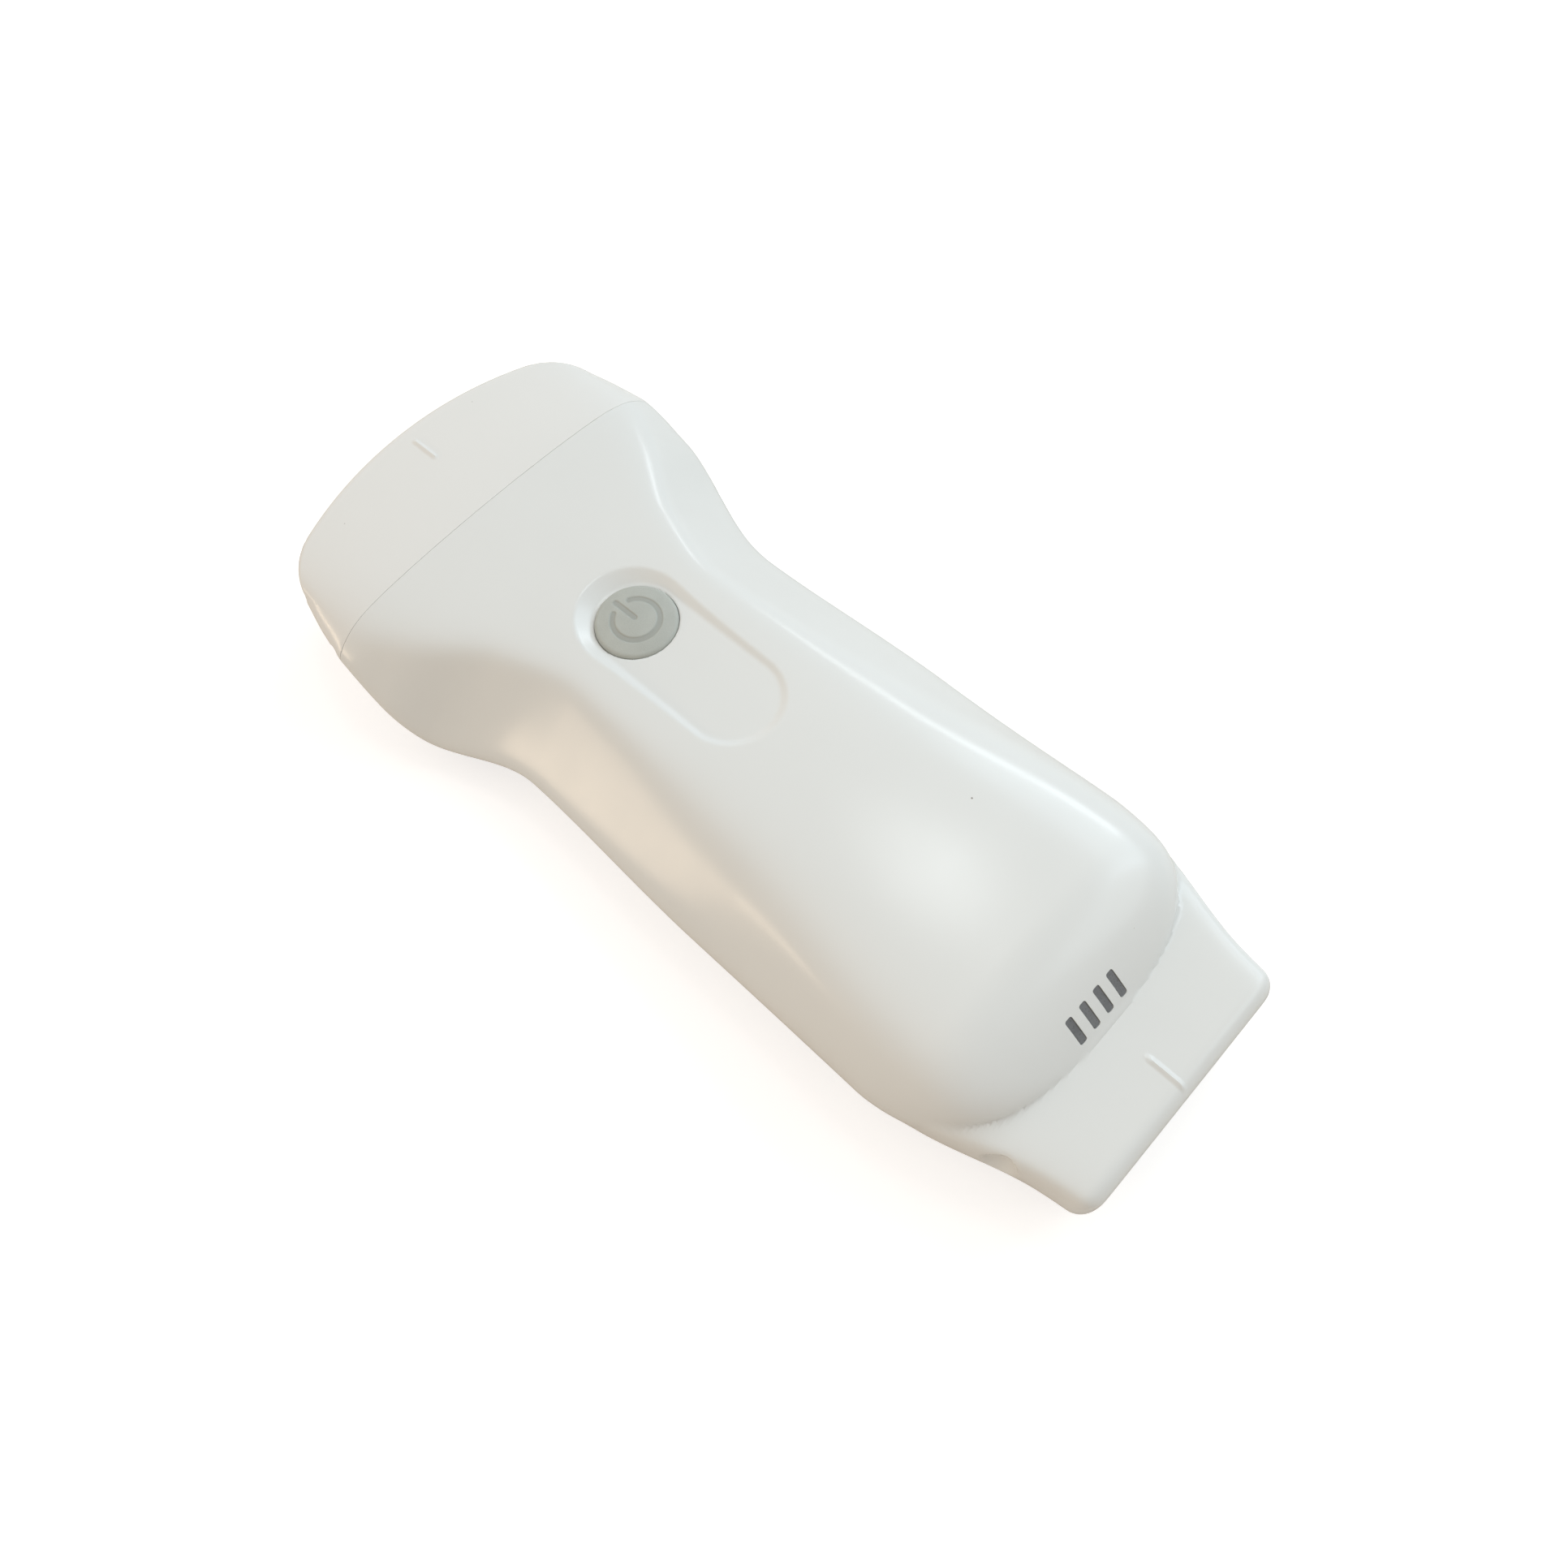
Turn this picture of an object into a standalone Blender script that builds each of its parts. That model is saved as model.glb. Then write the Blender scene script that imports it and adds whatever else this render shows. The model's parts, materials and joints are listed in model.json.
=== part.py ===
"""Handheld wireless ultrasound scanner with a convex head at one end and a linear head at the other.

Sizes are in millimetres and become metres when a mesh is made. Places along the scanner are given as
u, the distance from the tip of the linear head; +X runs towards the convex head, +Z is the button
side, and the origin is on the surface that the scanner lies on, under its middle.
"""

import math

import bmesh
import bpy
import numpy as np
from mathutils import Matrix, Vector

MM = 0.001

# Overall form
LENGTH = 152.0  # housing, from the linear tip to the middle of the convex nose
TIP_HALF = 19.3  # half-widths of the plan outline
BODY_HALF = 26.5
WAIST_HALF = 25.4
SHOULDER_HALF = 32.5
NOSE_HALF = 29.4
BODY_TOP = 23.4  # heights of the top along the middle
WAIST_TOP = 20.8
NOSE_TOP = 18.8
HEAD_TOP = 15.4  # top face of the linear head
TIP_BOTTOM = 1.2
NOSE_BOTTOM = 2.4
POLE = 9.5  # height of the line that every section is drawn around
CROWN_SPAN = 52.0  # half-span of the ellipse that crowns the top
HEAD_SPAN = 120.0
HEAD_SHARP = 14.0  # how square the corners of the linear head's section are
HEAD_SIDE_LEAN = 0.6
HEAD_BELLY_IN = 3.5
LEAST_DISTANCE = 1.0  # from the pole to any side of an inset section

# Places along the scanner
BUMP_FOOT = 12.4  # where the body rises out of the linear head
BUMP_RISE = 14.6
HEAD_FADE_FROM, HEAD_FADE_LONG, HEAD_FADE_IN = 24.0, 16.0, 3.0  # the head's section sinks into the body's
HEAD_END = BUMP_FOOT + 32.0
BODY_AT, BODY_LONG = 31.0, 30.0
WAIST_TO_NOSE, SHOULDER_TO_NOSE = 57.0, 31.0
WAIST = LENGTH - WAIST_TO_NOSE
SHOULDER = LENGTH - SHOULDER_TO_NOSE
NOSE_CAP_LENGTH = 23.0
PARTING = LENGTH - NOSE_CAP_LENGTH

# Nose outline in plan, and rounded edges
NOSE_RADIUS = 65.0
NOSE_CORNER = 3.6
NOSE_EDGE = 2.2
TIP_EDGE = 2.5
FLAT_REACH = 0.06  # the underside is dead flat up to this height over its lowest line
BEYOND = 10.0  # how far a cutter reaches past what it cuts

# Walls and joints between the mouldings
WALL = 2.0
NOSE_WALL = 3.0
GAP = 0.3  # clearance between pieces that meet
SEAM_Z = 4.0  # bottom cover's edge
LIP_HEIGHT, LIP_ROOT = 1.5, 0.7
LIP_OUT, LIP_IN = 1.15, 2.5  # insets of the cover's lip from the outer skin
SPIGOT_LENGTH = 3.0
SPIGOT_IN = 3.8
SEAL_OUT, SEAL_IN, SEAL_DEPTH = 1.3, 2.0, 1.0
TIP_OPENING = 3.5  # insets of the lens openings from the outer skin
NOSE_OPENING = 4.0
TIP_WALL = 3.2  # walls around the lens openings, along the scanner
NOSE_FACE_WALL = 3.6

# Transducers
LENS_PROUD = 0.5
LENS_DEPTH = 2.4
ARRAY_DEPTH = 0.9
LINEAR_HALF, LINEAR_TALL = 13.8, 5.4
LINEAR_Z = 8.6
LINEAR_BACKING = 7.0
CONVEX_HALF, CONVEX_TALL = 19.0, 8.0
CONVEX_Z = 11.0
CONVEX_BACKING = 8.0
FLEX_THICK = 0.3

# Power button and its recess
BUTTON_PAST_WAIST = 2.0
BUTTON_U = WAIST + BUTTON_PAST_WAIST
BUTTON_RADIUS = 6.0
BUTTON_DOME = 0.5
BUTTON_RISE = 0.5  # edge of the cap above the recess floor
BUTTON_FLANGE = 1.3
FLANGE_THICK = 0.8
BUTTON_EDGE = 0.4  # rounding of the cap's edge
BUTTON_TRAVEL = 0.4
STEM_RADIUS = 1.6
STEM_CLEAR = 0.15  # from the pressed stem to the switch
RECESS_HALF = 8.6  # at the skin
RECESS_LENGTH = 36.5
RECESS_DEPTH, RECESS_REAR_DEPTH = 1.0, 0.6
RECESS_BEVEL = 1.9

# Status lights on the body's end slope
LIGHT_COUNT = 4
LIGHT_PITCH = 2.7
LIGHT_U = 15.0
LIGHT_WIDE, LIGHT_LONG = 1.4, 4.6
LIGHT_TILT = math.radians(41.0)
LIGHT_CLEAR = 0.2
LIGHT_SUNK = 0.15
LIGHT_BAR_DEPTH = WALL + GAP + 0.2
LIGHT_BAR_THICK, LIGHT_BAR_MARGIN = 1.0, 0.5
LED_STRIP_THICK = 0.8

# Marks
RIB_LONG, RIB_WIDE, RIB_PROUD = 5.0, 0.55, 0.25
RIB_SUNK = 0.3
NOSE_RIB_U, TIP_RIB_U = LENGTH - 7.0, 3.9
DIMPLE_LONG, DIMPLE_TALL, DIMPLE_DEEP = 5.0, 3.0, 0.9
NOSE_DIMPLE_U, TIP_DIMPLE_U = LENGTH - 14.0, 11.0

# Stack inside, from the floor up
COIL_RADIUS, COIL_HOLE, COIL_THICK = 14.0, 7.0, 0.8
FERRITE_SIDE, FERRITE_THICK = 31.0, 0.6
BATTERY_FROM_BODY, BATTERY_PAST_WAIST = 8.0, 4.0
BATTERY_REAR, BATTERY_FRONT = BODY_AT + BATTERY_FROM_BODY, WAIST + BATTERY_PAST_WAIST
BATTERY_WIDE, BATTERY_THICK = 33.0, 7.8
BATTERY_LONG = BATTERY_FRONT - BATTERY_REAR
BATTERY_U = (BATTERY_FRONT + BATTERY_REAR) / 2
BATTERY_EDGE = 1.2
PAD_LONG, PAD_WIDE, PAD_THICK = 40.0, 24.0, 0.8
BOARD_TO_PARTING, BOARD_FROM_FOOT = 13.0, 11.6
BOARD_FRONT, BOARD_REAR = PARTING - BOARD_TO_PARTING, BUMP_FOOT + BOARD_FROM_FOOT
BOARD_HALF, BOARD_THICK = 14.0, 1.2
SCREW_FROM_END, SCREW_Y = 7.0, 11.0
BOSS_RADIUS = 2.6
SCREW_RADIUS, SCREW_HEAD_RADIUS, SCREW_HEAD_THICK, SCREW_LONG = 0.9, 1.7, 0.9, 4.5
SHANK_SUNK = 0.4  # how far the shank starts inside the head
PART_SPACING = 1.5  # along the board, between the parts on it
SHIELD_LONG, SHIELD_WIDE, SHIELD_TALL, SHIELD_EDGE = 9.0, 16.0, 2.0, 0.3
SHIELD_U = BOARD_REAR + SCREW_FROM_END + BOSS_RADIUS + SHIELD_LONG / 2
CHIP_SIDE, CHIP_THICK, CHIP_SPACING = 9.0, 1.1, 2.0
CHIP_PITCH = CHIP_SIDE + CHIP_SPACING
CHIP_U = SHIELD_U + SHIELD_LONG / 2 + PART_SPACING + CHIP_SIDE + CHIP_SPACING / 2
PROCESSOR_SIDE = 14.0
PROCESSOR_U = CHIP_U + CHIP_SIDE + CHIP_SPACING / 2 + PART_SPACING + PROCESSOR_SIDE / 2
SPREADER_THICK, SPREADER_MARGIN = 0.6, 1.0
SWITCH_SIDE, SWITCH_TALL, SWITCH_EDGE = 4.6, 1.2, 0.2
CONNECTOR_LONG, CONNECTOR_TALL = 3.0, 1.3
CONNECTOR_IN = 1.0  # from the board's end
LINEAR_PLUG_WIDE, CONVEX_PLUG_WIDE = 18.0, 24.0
LINEAR_FLEX_HALF, CONVEX_FLEX_HALF = 8.0, 11.0
ANTENNA_LONG, ANTENNA_WIDE, ANTENNA_THICK = 20.0, 8.0, 0.3
ANTENNA_PAST_SHIELD = 8.0
ANTENNA_U = SHIELD_U + ANTENNA_PAST_SHIELD
LEAD_RADIUS, LEAD_LONG = 0.8, 2.7
LEAD_UNDER_TOP = 2.0  # where the lead leaves the battery, under its top
PLUG_LONG, PLUG_WIDE, PLUG_TALL = 4.0, 6.0, 2.0

FLOOR_Z = WALL + GAP
COIL_TOP = FLOOR_Z + COIL_THICK
FERRITE_Z = COIL_TOP + GAP
BATTERY_Z = FERRITE_Z + FERRITE_THICK + GAP
PAD_Z = BATTERY_Z + BATTERY_THICK + GAP
BOARD_Z = PAD_Z + PAD_THICK + GAP
BOARD_TOP = BOARD_Z + BOARD_THICK
PARTS_Z = BOARD_TOP + GAP

# Section sizes along the scanner, as (u, size), joined by a smooth curve with no overshoot
HALF_WIDTH = [
    (0, TIP_HALF),
    (7, TIP_HALF + 1.1),
    (22, BODY_HALF - 1.6),
    (BODY_AT, BODY_HALF),
    (BODY_AT + BODY_LONG, BODY_HALF),
    (WAIST, WAIST_HALF),
    (SHOULDER, SHOULDER_HALF),
    (LENGTH, NOSE_HALF),
]
EQUATOR_Z = [
    (0, 8.4),
    (60, 9.2),
    (WAIST, 8.2),
    (WAIST + 17, 4.8),
    (SHOULDER, 9.0),
    (PARTING + 2, 13.5),
    (LENGTH, 12.3),
]
RIDGE_Y = [
    (0, 22.0),
    (27, 23.0),
    (60, 18.5),
    (WAIST, 15.6),
    (WAIST + 13, 19.0),
    (SHOULDER, 26.5),
    (PARTING, 29.0),
    (LENGTH, 27.4),
]
RIDGE_Z = [(0, 20.0), (30, 20.0), (60, 19.2), (WAIST, 18.2), (SHOULDER, 17.3), (LENGTH, 17.5)]
CROWN_Z = [(0, BODY_TOP), (30, BODY_TOP), (WAIST, WAIST_TOP), (PARTING, 20.4), (LENGTH, NOSE_TOP)]
BELLY_HALF = [(0, 15.0), (40, 19.0), (WAIST, 17.0), (SHOULDER, 20.0), (LENGTH, 17.0)]
BOTTOM_Z = [(0, TIP_BOTTOM), (18, 0.0), (SHOULDER, 0.0), (LENGTH - 12, 0.8), (LENGTH, NOSE_BOTTOM)]
SHARPNESS = [(0, 8.0), (40, 9.0), (70, 14.0), (WAIST, 24.0), (SHOULDER, 18.0), (LENGTH, 18.0)]

scene = bpy.context.scene
for old in list(bpy.data.objects):
    bpy.data.objects.remove(old, do_unlink=True)
parts = bpy.data.collections.new("ultrasound_scanner")
cutters = bpy.data.collections.new("cutters")
for collection in (parts, cutters):
    scene.collection.children.link(collection)
cutters.hide_render = True


def material(name, colour, roughness, metallic=0.0):
    made = bpy.data.materials.new(name)
    made.use_nodes = True
    shader = made.node_tree.nodes["Principled BSDF"]
    shader.inputs["Base Color"].default_value = (*colour, 1.0)
    shader.inputs["Roughness"].default_value = roughness
    shader.inputs["Metallic"].default_value = metallic
    return made


white_plastic = material("white_plastic", (0.86, 0.88, 0.87), 0.35)
lens_silicone = material("lens_silicone", (0.30, 0.32, 0.33), 0.45)
button_silicone = material("button_silicone", (0.42, 0.45, 0.43), 0.6)
smoked_plastic = material("smoked_plastic", (0.16, 0.17, 0.17), 0.25)
seal_rubber = material("seal_rubber", (0.10, 0.10, 0.11), 0.7)
ceramic = material("ceramic", (0.62, 0.58, 0.48), 0.5)
backing_resin = material("backing_resin", (0.12, 0.11, 0.10), 0.6)
flex_film = material("flex_film", (0.62, 0.33, 0.08), 0.4)
board_laminate = material("board_laminate", (0.03, 0.16, 0.08), 0.5)
chip_plastic = material("chip_plastic", (0.05, 0.05, 0.05), 0.5)
tinned_steel = material("tinned_steel", (0.72, 0.72, 0.70), 0.3, 1.0)
aluminium = material("aluminium", (0.75, 0.76, 0.77), 0.35, 1.0)
copper = material("copper", (0.72, 0.40, 0.24), 0.35, 1.0)
ferrite = material("ferrite", (0.14, 0.14, 0.15), 0.6)
battery_film = material("battery_film", (0.70, 0.72, 0.74), 0.3)
foam = material("foam", (0.20, 0.20, 0.22), 0.9)
connector_nylon = material("connector_nylon", (0.80, 0.77, 0.68), 0.5)


def x_at(u):
    return u - LENGTH / 2


def along(table, u):
    """The size at u: a cubic through the table's points that keeps between neighbours."""
    places = [p for p, _ in table]
    sizes = [s for _, s in table]
    steps = [b - a for a, b in zip(places, places[1:])]
    slopes = [(b - a) / h for a, b, h in zip(sizes, sizes[1:], steps)]
    tangents = [slopes[0]]
    for before, after in zip(slopes, slopes[1:]):
        tangents.append(2 * before * after / (before + after) if before * after > 0 else 0.0)
    tangents.append(slopes[-1])
    u = min(max(u, places[0]), places[-1])
    i = next(k for k in range(len(steps)) if u <= places[k + 1])
    t = (u - places[i]) / steps[i]
    rise, step = sizes[i + 1] - sizes[i], steps[i]
    start, end = tangents[i] * step, tangents[i + 1] * step
    return sizes[i] + t * start + t * t * (3 * rise - 2 * start - end) + t**3 * (start + end - 2 * rise)


def side(y1, z1, y2, z2, inset):
    """A side of the section through two points: its outward normal and its distance from the pole."""
    normal = Vector((z1 - z2, y2 - y1)).normalized()
    return normal.x, normal.y, max(normal.dot(Vector((y1, z1 - POLE))) - inset, LEAST_DISTANCE)


def rounded_section(c, s, sides, span, top, sharpness):
    """Distance from the pole in the direction (c, s) to a polygon with rounded corners and a crowned top."""
    total = sum(max((c * ny + s * nz) / d, 0.0) ** sharpness for ny, nz, d in sides)
    if s > 0:
        total += ((c / span) ** 2 + (s / top) ** 2) ** (sharpness / 2)
    return total ** (-1 / sharpness)


def bump_drop(u):
    """How far the body's end slope narrows each side and drops the top at u."""
    left = min(max(1 - (u - BUMP_FOOT) / BUMP_RISE, 0.0), 1.0)
    narrowed = along(HALF_WIDTH, u) * (1 - (1 - left**3) ** (1 / 3))
    return narrowed, (along(CROWN_Z, u) - HEAD_TOP) * left**2


def body_reach(u, c, s, inset):
    """The body's section; its end slope narrows and drops into the linear head."""
    narrowed, dropped = bump_drop(u)
    top = along(CROWN_Z, u) - dropped
    sharpness = along(SHARPNESS, u)
    half = max(along(HALF_WIDTH, u) - narrowed, 3.0)
    corner = half * 2 ** (1 / sharpness)
    ridge = max(along(RIDGE_Y, u) - narrowed, 2.0)
    equator, bottom = along(EQUATOR_Z, u), along(BOTTOM_Z, u)
    sides = [
        side(ridge, along(RIDGE_Z, u), corner, equator, inset),
        side(corner, equator, min(along(BELLY_HALF, u), half - 3.0), bottom, inset),
        (0.0, -1.0, POLE - bottom - inset),
    ]
    return rounded_section(c, s, sides, CROWN_SPAN, max(top - POLE - inset, LEAST_DISTANCE), sharpness)


def head_reach(u, c, s, inset):
    """The linear head's section, which fades inside the body further along."""
    inset += HEAD_FADE_IN * min(max((u - HEAD_FADE_FROM) / HEAD_FADE_LONG, 0.0), 1.0) ** 2
    half, equator, bottom = along(HALF_WIDTH, u), along(EQUATOR_Z, u), along(BOTTOM_Z, u)
    corner = half * 2 ** (1 / HEAD_SHARP)
    sides = [
        side(half - HEAD_SIDE_LEAN, HEAD_TOP, corner, equator, inset),
        side(corner, equator, half - HEAD_BELLY_IN, bottom, inset),
        (0.0, -1.0, POLE - bottom - inset),
    ]
    return rounded_section(c, s, sides, HEAD_SPAN, HEAD_TOP - POLE - inset, HEAD_SHARP)


def soft_max(a, b, width):
    return max(a, b) + max(0.0, width - abs(a - b)) ** 2 / (4 * width)


def reach(u, angle, inset):
    """How far the outer skin, set in by inset, lies from the pole at this angle from +Y."""
    c, s = abs(math.cos(angle)), math.sin(angle)
    if u <= BUMP_FOOT:
        return head_reach(u, c, s, inset)
    body = body_reach(u, c, s, inset)
    if u > HEAD_END:
        return body
    return soft_max(body, head_reach(u, c, s, inset), 0.02 + 1.2 * max(s, 0.0))


def edge_inset(distance, radius):
    """How far a rounded end edge draws the skin in, at this distance from the end."""
    left = max(radius - distance, 0.0)
    return radius - math.sqrt(radius * radius - left * left)


def nose_outline(y):
    """Place of the nose's front edge at y."""
    y = abs(y)
    sag = NOSE_RADIUS - math.sqrt(max(NOSE_RADIUS**2 - y * y, 0.0))
    into_corner = min(max(y - (NOSE_HALF - NOSE_CORNER - 1.0), 0.0), NOSE_CORNER)
    return LENGTH - sag - (NOSE_CORNER - math.sqrt(NOSE_CORNER**2 - into_corner**2))


# Places of a ring's points from the bottom (0) past the belly's edge (1), the equator (2) and the
# ridge (3) to the top (4), close together at the corners
OUTER_ROWS = (0, 0.6, 0.85, 1, 1.15, 1.4, 1.65, 1.87, 2, 2.13, 2.35, 2.6, 2.85, 3, 3.07, 3.18, 3.4, 3.7, 4)
INNER_ROWS = (0, 0.65, 0.9, 1.1, 1.45, 1.8, 2.1, 2.4, 2.75, 3, 3.12, 3.4, 3.7, 4)


def corner_angles(u):
    """Angles from the pole to the section's corners at u, between straight down and straight up."""
    narrowed, _ = bump_drop(u)
    half, equator, bottom = along(HALF_WIDTH, u), along(EQUATOR_Z, u), along(BOTTOM_Z, u)
    body = [
        (along(BELLY_HALF, u), bottom),
        (half - narrowed, equator),
        (max(along(RIDGE_Y, u) - narrowed, half / 2), along(RIDGE_Z, u)),
    ]
    head = [(half - HEAD_BELLY_IN, bottom), (half, equator), (half - HEAD_SIDE_LEAN, HEAD_TOP)]
    share = min(max((u - BUMP_FOOT - 2) / (BUMP_RISE - 4), 0.0), 1.0)
    found = [-math.pi / 2]
    for (by, bz), (hy, hz) in zip(body, head):
        y, z = hy + share * (by - hy), hz + share * (bz - hz)
        found.append(math.atan2(z - POLE, y))
    return found + [math.pi / 2]


def ring_angles(u, rows):
    corners = corner_angles(u)
    half = []
    for row in rows:
        i = min(int(row), 3)
        half.append(corners[i] + (row - i) * (corners[i + 1] - corners[i]))
    return half + [math.pi - a for a in reversed(half[1:-1])]


def bent(u, y):
    """Place along the scanner at y: past the parting plane, sections bend to the nose's outline."""
    bend = max((u - PARTING) / (LENGTH - PARTING), 0.0)
    return u + bend * (nose_outline(y) - LENGTH)


def ring(u, inset=0.0, rows=OUTER_ROWS):
    """One ring of the skin as points."""
    points = []
    rounding = edge_inset(u, TIP_EDGE) + edge_inset(LENGTH - u, NOSE_EDGE)
    for angle in ring_angles(u, rows):
        r = reach(u, angle, max(inset, rounding))
        y, z = r * math.cos(angle), POLE + r * math.sin(angle)
        flat = along(BOTTOM_Z, u) + inset
        if z < flat + FLAT_REACH:
            z = flat
        points.append(Vector((x_at(bent(u, y)), y, z)))
    return points


def arc_face(outline, u, middle_z, rise=0.0, shares=(0.95, 0.8, 0.5, 0.2)):
    """The outline drawn in towards its middle on the nose's arc at u, domed outwards by rise."""
    rings = []
    for share in shares:
        dome = rise * math.sqrt(1 - share**4)
        face = [(bent(u, p.y * share), p.y * share, middle_z + (p.z - middle_z) * share) for p in outline]
        rings.append([Vector((x_at(x) + dome, y, z)) for x, y, z in face])
    return rings


def finish(name, mesh_data, made_of, collection=parts):
    obj = bpy.data.objects.new(name, mesh_data)
    collection.objects.link(obj)
    if made_of:
        mesh_data.materials.append(made_of)
    if collection is cutters:
        obj.hide_render = True
        obj.display_type = "WIRE"
    else:
        mesh_data.shade_smooth()
        mesh_data.set_sharp_from_angle(angle=math.radians(35))
    return obj


def from_bmesh(name, bm, made_of, collection=parts):
    for vert in bm.verts:
        vert.co *= MM
    bmesh.ops.recalc_face_normals(bm, faces=bm.faces)
    data = bpy.data.meshes.new(name)
    bm.to_mesh(data)
    bm.free()
    return finish(name, data, made_of, collection)


def bridge(bm, first, second):
    count = len(first)
    for i in range(count):
        k = (i + 1) % count
        bm.faces.new((first[i], first[k], second[k], second[i]))


def sleeve(name, outer, inner, made_of=None, collection=cutters):
    """A closed tube between an outer loft and an inner one, each a list of rings."""
    bm = bmesh.new()
    skins = [[[bm.verts.new(p) for p in points] for points in loft] for loft in (outer, inner)]
    for loft in skins:
        for first, second in zip(loft, loft[1:]):
            bridge(bm, first, second)
    for end in (0, -1):
        bridge(bm, skins[0][end], skins[1][end])
    return from_bmesh(name, bm, made_of, collection)


def plug(name, rings, made_of=None, collection=parts):
    """A closed solid lofted through rings, with both ends filled."""
    bm = bmesh.new()
    loft = [[bm.verts.new(p) for p in points] for points in rings]
    for first, second in zip(loft, loft[1:]):
        bridge(bm, first, second)
    for end in (loft[0], loft[-1]):
        bm.faces.new(end)
    return from_bmesh(name, bm, made_of, collection)


def block(name, u, y, z, size, made_of=None, collection=parts, bevel=0.0):
    """A box centred at (u, y), with its bottom at z."""
    bm = bmesh.new()
    bmesh.ops.create_cube(bm, size=1.0)
    bmesh.ops.scale(bm, vec=size, verts=bm.verts)
    bmesh.ops.translate(bm, vec=(x_at(u), y, z + size[2] / 2), verts=bm.verts)
    obj = from_bmesh(name, bm, made_of, collection)
    if bevel:
        rounding = obj.modifiers.new("rounded_edges", "BEVEL")
        rounding.width = bevel * MM
        rounding.segments = 2
    return obj


def cylinder(name, u, y, z, radius, height, made_of=None, collection=parts, sides=32):
    """An upright cylinder with its bottom at z."""
    bm = bmesh.new()
    bmesh.ops.create_cone(bm, cap_ends=True, segments=sides, radius1=radius, radius2=radius, depth=height)
    bmesh.ops.translate(bm, vec=(x_at(u), y, z + height / 2), verts=bm.verts)
    return from_bmesh(name, bm, made_of, collection)


def cut(obj, other, operation="DIFFERENCE"):
    modifier = obj.modifiers.new(operation.lower() + "_" + other.name, "BOOLEAN")
    modifier.operation = operation
    modifier.object = other
    modifier.solver = "EXACT"


def spaced(first, last, count):
    return [first + (last - first) * i / (count - 1) for i in range(count)]


def body_stations():
    tip = [0.0, 0.5, 1.3, TIP_EDGE]
    slope = spaced(BUMP_FOOT + 0.4, BUMP_FOOT + BUMP_RISE, 9)
    return (
        tip
        + [6.0, 9.5, BUMP_FOOT - 0.4]
        + slope
        + spaced(slope[-1] + 5, WAIST, 9)
        + spaced(WAIST + 4, SHOULDER, 7)
        + [(SHOULDER + PARTING) / 2]
    )


def skin_point(u, y):
    """The point of the outer skin above (u, y)."""
    low, high = math.radians(20 if abs(y) < 25 else 2), math.pi / 2
    for _ in range(40):
        middle = (low + high) / 2
        if reach(u, middle, 0.0) * math.cos(middle) > abs(y):
            low = middle
        else:
            high = middle
    r = reach(u, high, 0.0)
    return POLE + r * math.sin(high)


def lip_stations():
    return [u for u in body_stations() if u > TIP_EDGE] + [PARTING - SPIGOT_LENGTH - GAP]


def half_width_at(u, z, inset):
    """Half-width of the skin, set in by inset, at a height below the pole."""
    low, high = -math.pi / 2, 0.0
    for _ in range(30):
        middle = (low + high) / 2
        if POLE + reach(u, middle, inset) * math.sin(middle) < z:
            low = middle
        else:
            high = middle
    return reach(u, high, inset) * math.cos(high)


def side_strip(name, stations, low, high, out, into, side_sign):
    """A rail along one side wall, between two heights and two insets from the outer skin."""
    rings = []
    for u in stations:
        corners = [(low, out), (high, out), (high, into), (low, into)]
        rings.append([Vector((x_at(u), side_sign * half_width_at(u, z, inset), z)) for z, inset in corners])
    strip = plug(name, rings, collection=cutters)
    strip.modifiers.new("same_diagonals", "TRIANGULATE").quad_method = "FIXED"
    return strip


def spigot_stations():
    return spaced(PARTING - SPIGOT_LENGTH, PARTING, 4)


def moved(points, u):
    """The same outline, laid flat at u."""
    return [Vector((x_at(u), p.y, p.z)) for p in points]


def housing_blank(name):
    """The outer form, hollowed from the nose side, with the linear lens's opening in its tip."""
    blank = plug(name, [ring(u) for u in body_stations() + [PARTING - GAP / 2]], white_plastic)
    stations = [TIP_WALL, BUMP_FOOT, BUMP_FOOT + 5] + spaced(BUMP_FOOT + 10, WAIST, 6)
    stations += spaced(WAIST + 9, SHOULDER, 4) + spigot_stations()
    cavity = [ring(u, WALL, INNER_ROWS) for u in stations]
    cavity.append(moved(cavity[-1], PARTING + BEYOND))
    cut(blank, plug(name + "_cavity", cavity, collection=cutters))
    opening = ring(0, TIP_OPENING)
    opening = [moved(opening, -BEYOND), moved(opening, TIP_WALL + GAP)]
    cut(blank, plug(name + "_opening", opening, collection=cutters))
    return blank


def seam_box(name, low, high):
    size = (LENGTH + 2 * BEYOND, 2 * (SHOULDER_HALF + BEYOND), high - low)
    return block(name, LENGTH / 2, 0, low, size, collection=cutters)


def recess_floor(u):
    """Height of the recess's floor, which rises slightly to the skin towards its rear."""
    rear = BUTTON_U - RECESS_LENGTH + 2 * RECESS_HALF
    front_z = skin_point(BUTTON_U, 0.0) - RECESS_DEPTH
    rear_z = skin_point(rear, 0.0) - RECESS_REAR_DEPTH
    return front_z + (rear_z - front_z) * (BUTTON_U - u) / (BUTTON_U - rear)


def recess_cutter():
    """The pill-shaped recess around the button, with a bevelled wall."""
    rear = BUTTON_U - RECESS_LENGTH + 2 * RECESS_HALF
    rings = []
    for height in (0.0, 2 * RECESS_DEPTH):
        spread = RECESS_HALF + RECESS_BEVEL * (height / RECESS_DEPTH - 1)
        points = []
        for centre, start in ((BUTTON_U, -90), (rear, 90)):
            for step in range(13):
                angle = math.radians(start + 15 * step)
                u = centre + spread * math.cos(angle)
                points.append(Vector((x_at(u), spread * math.sin(angle), recess_floor(u) + height)))
        rings.append(points)
    return plug("recess_cutter", rings, collection=cutters)


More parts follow.
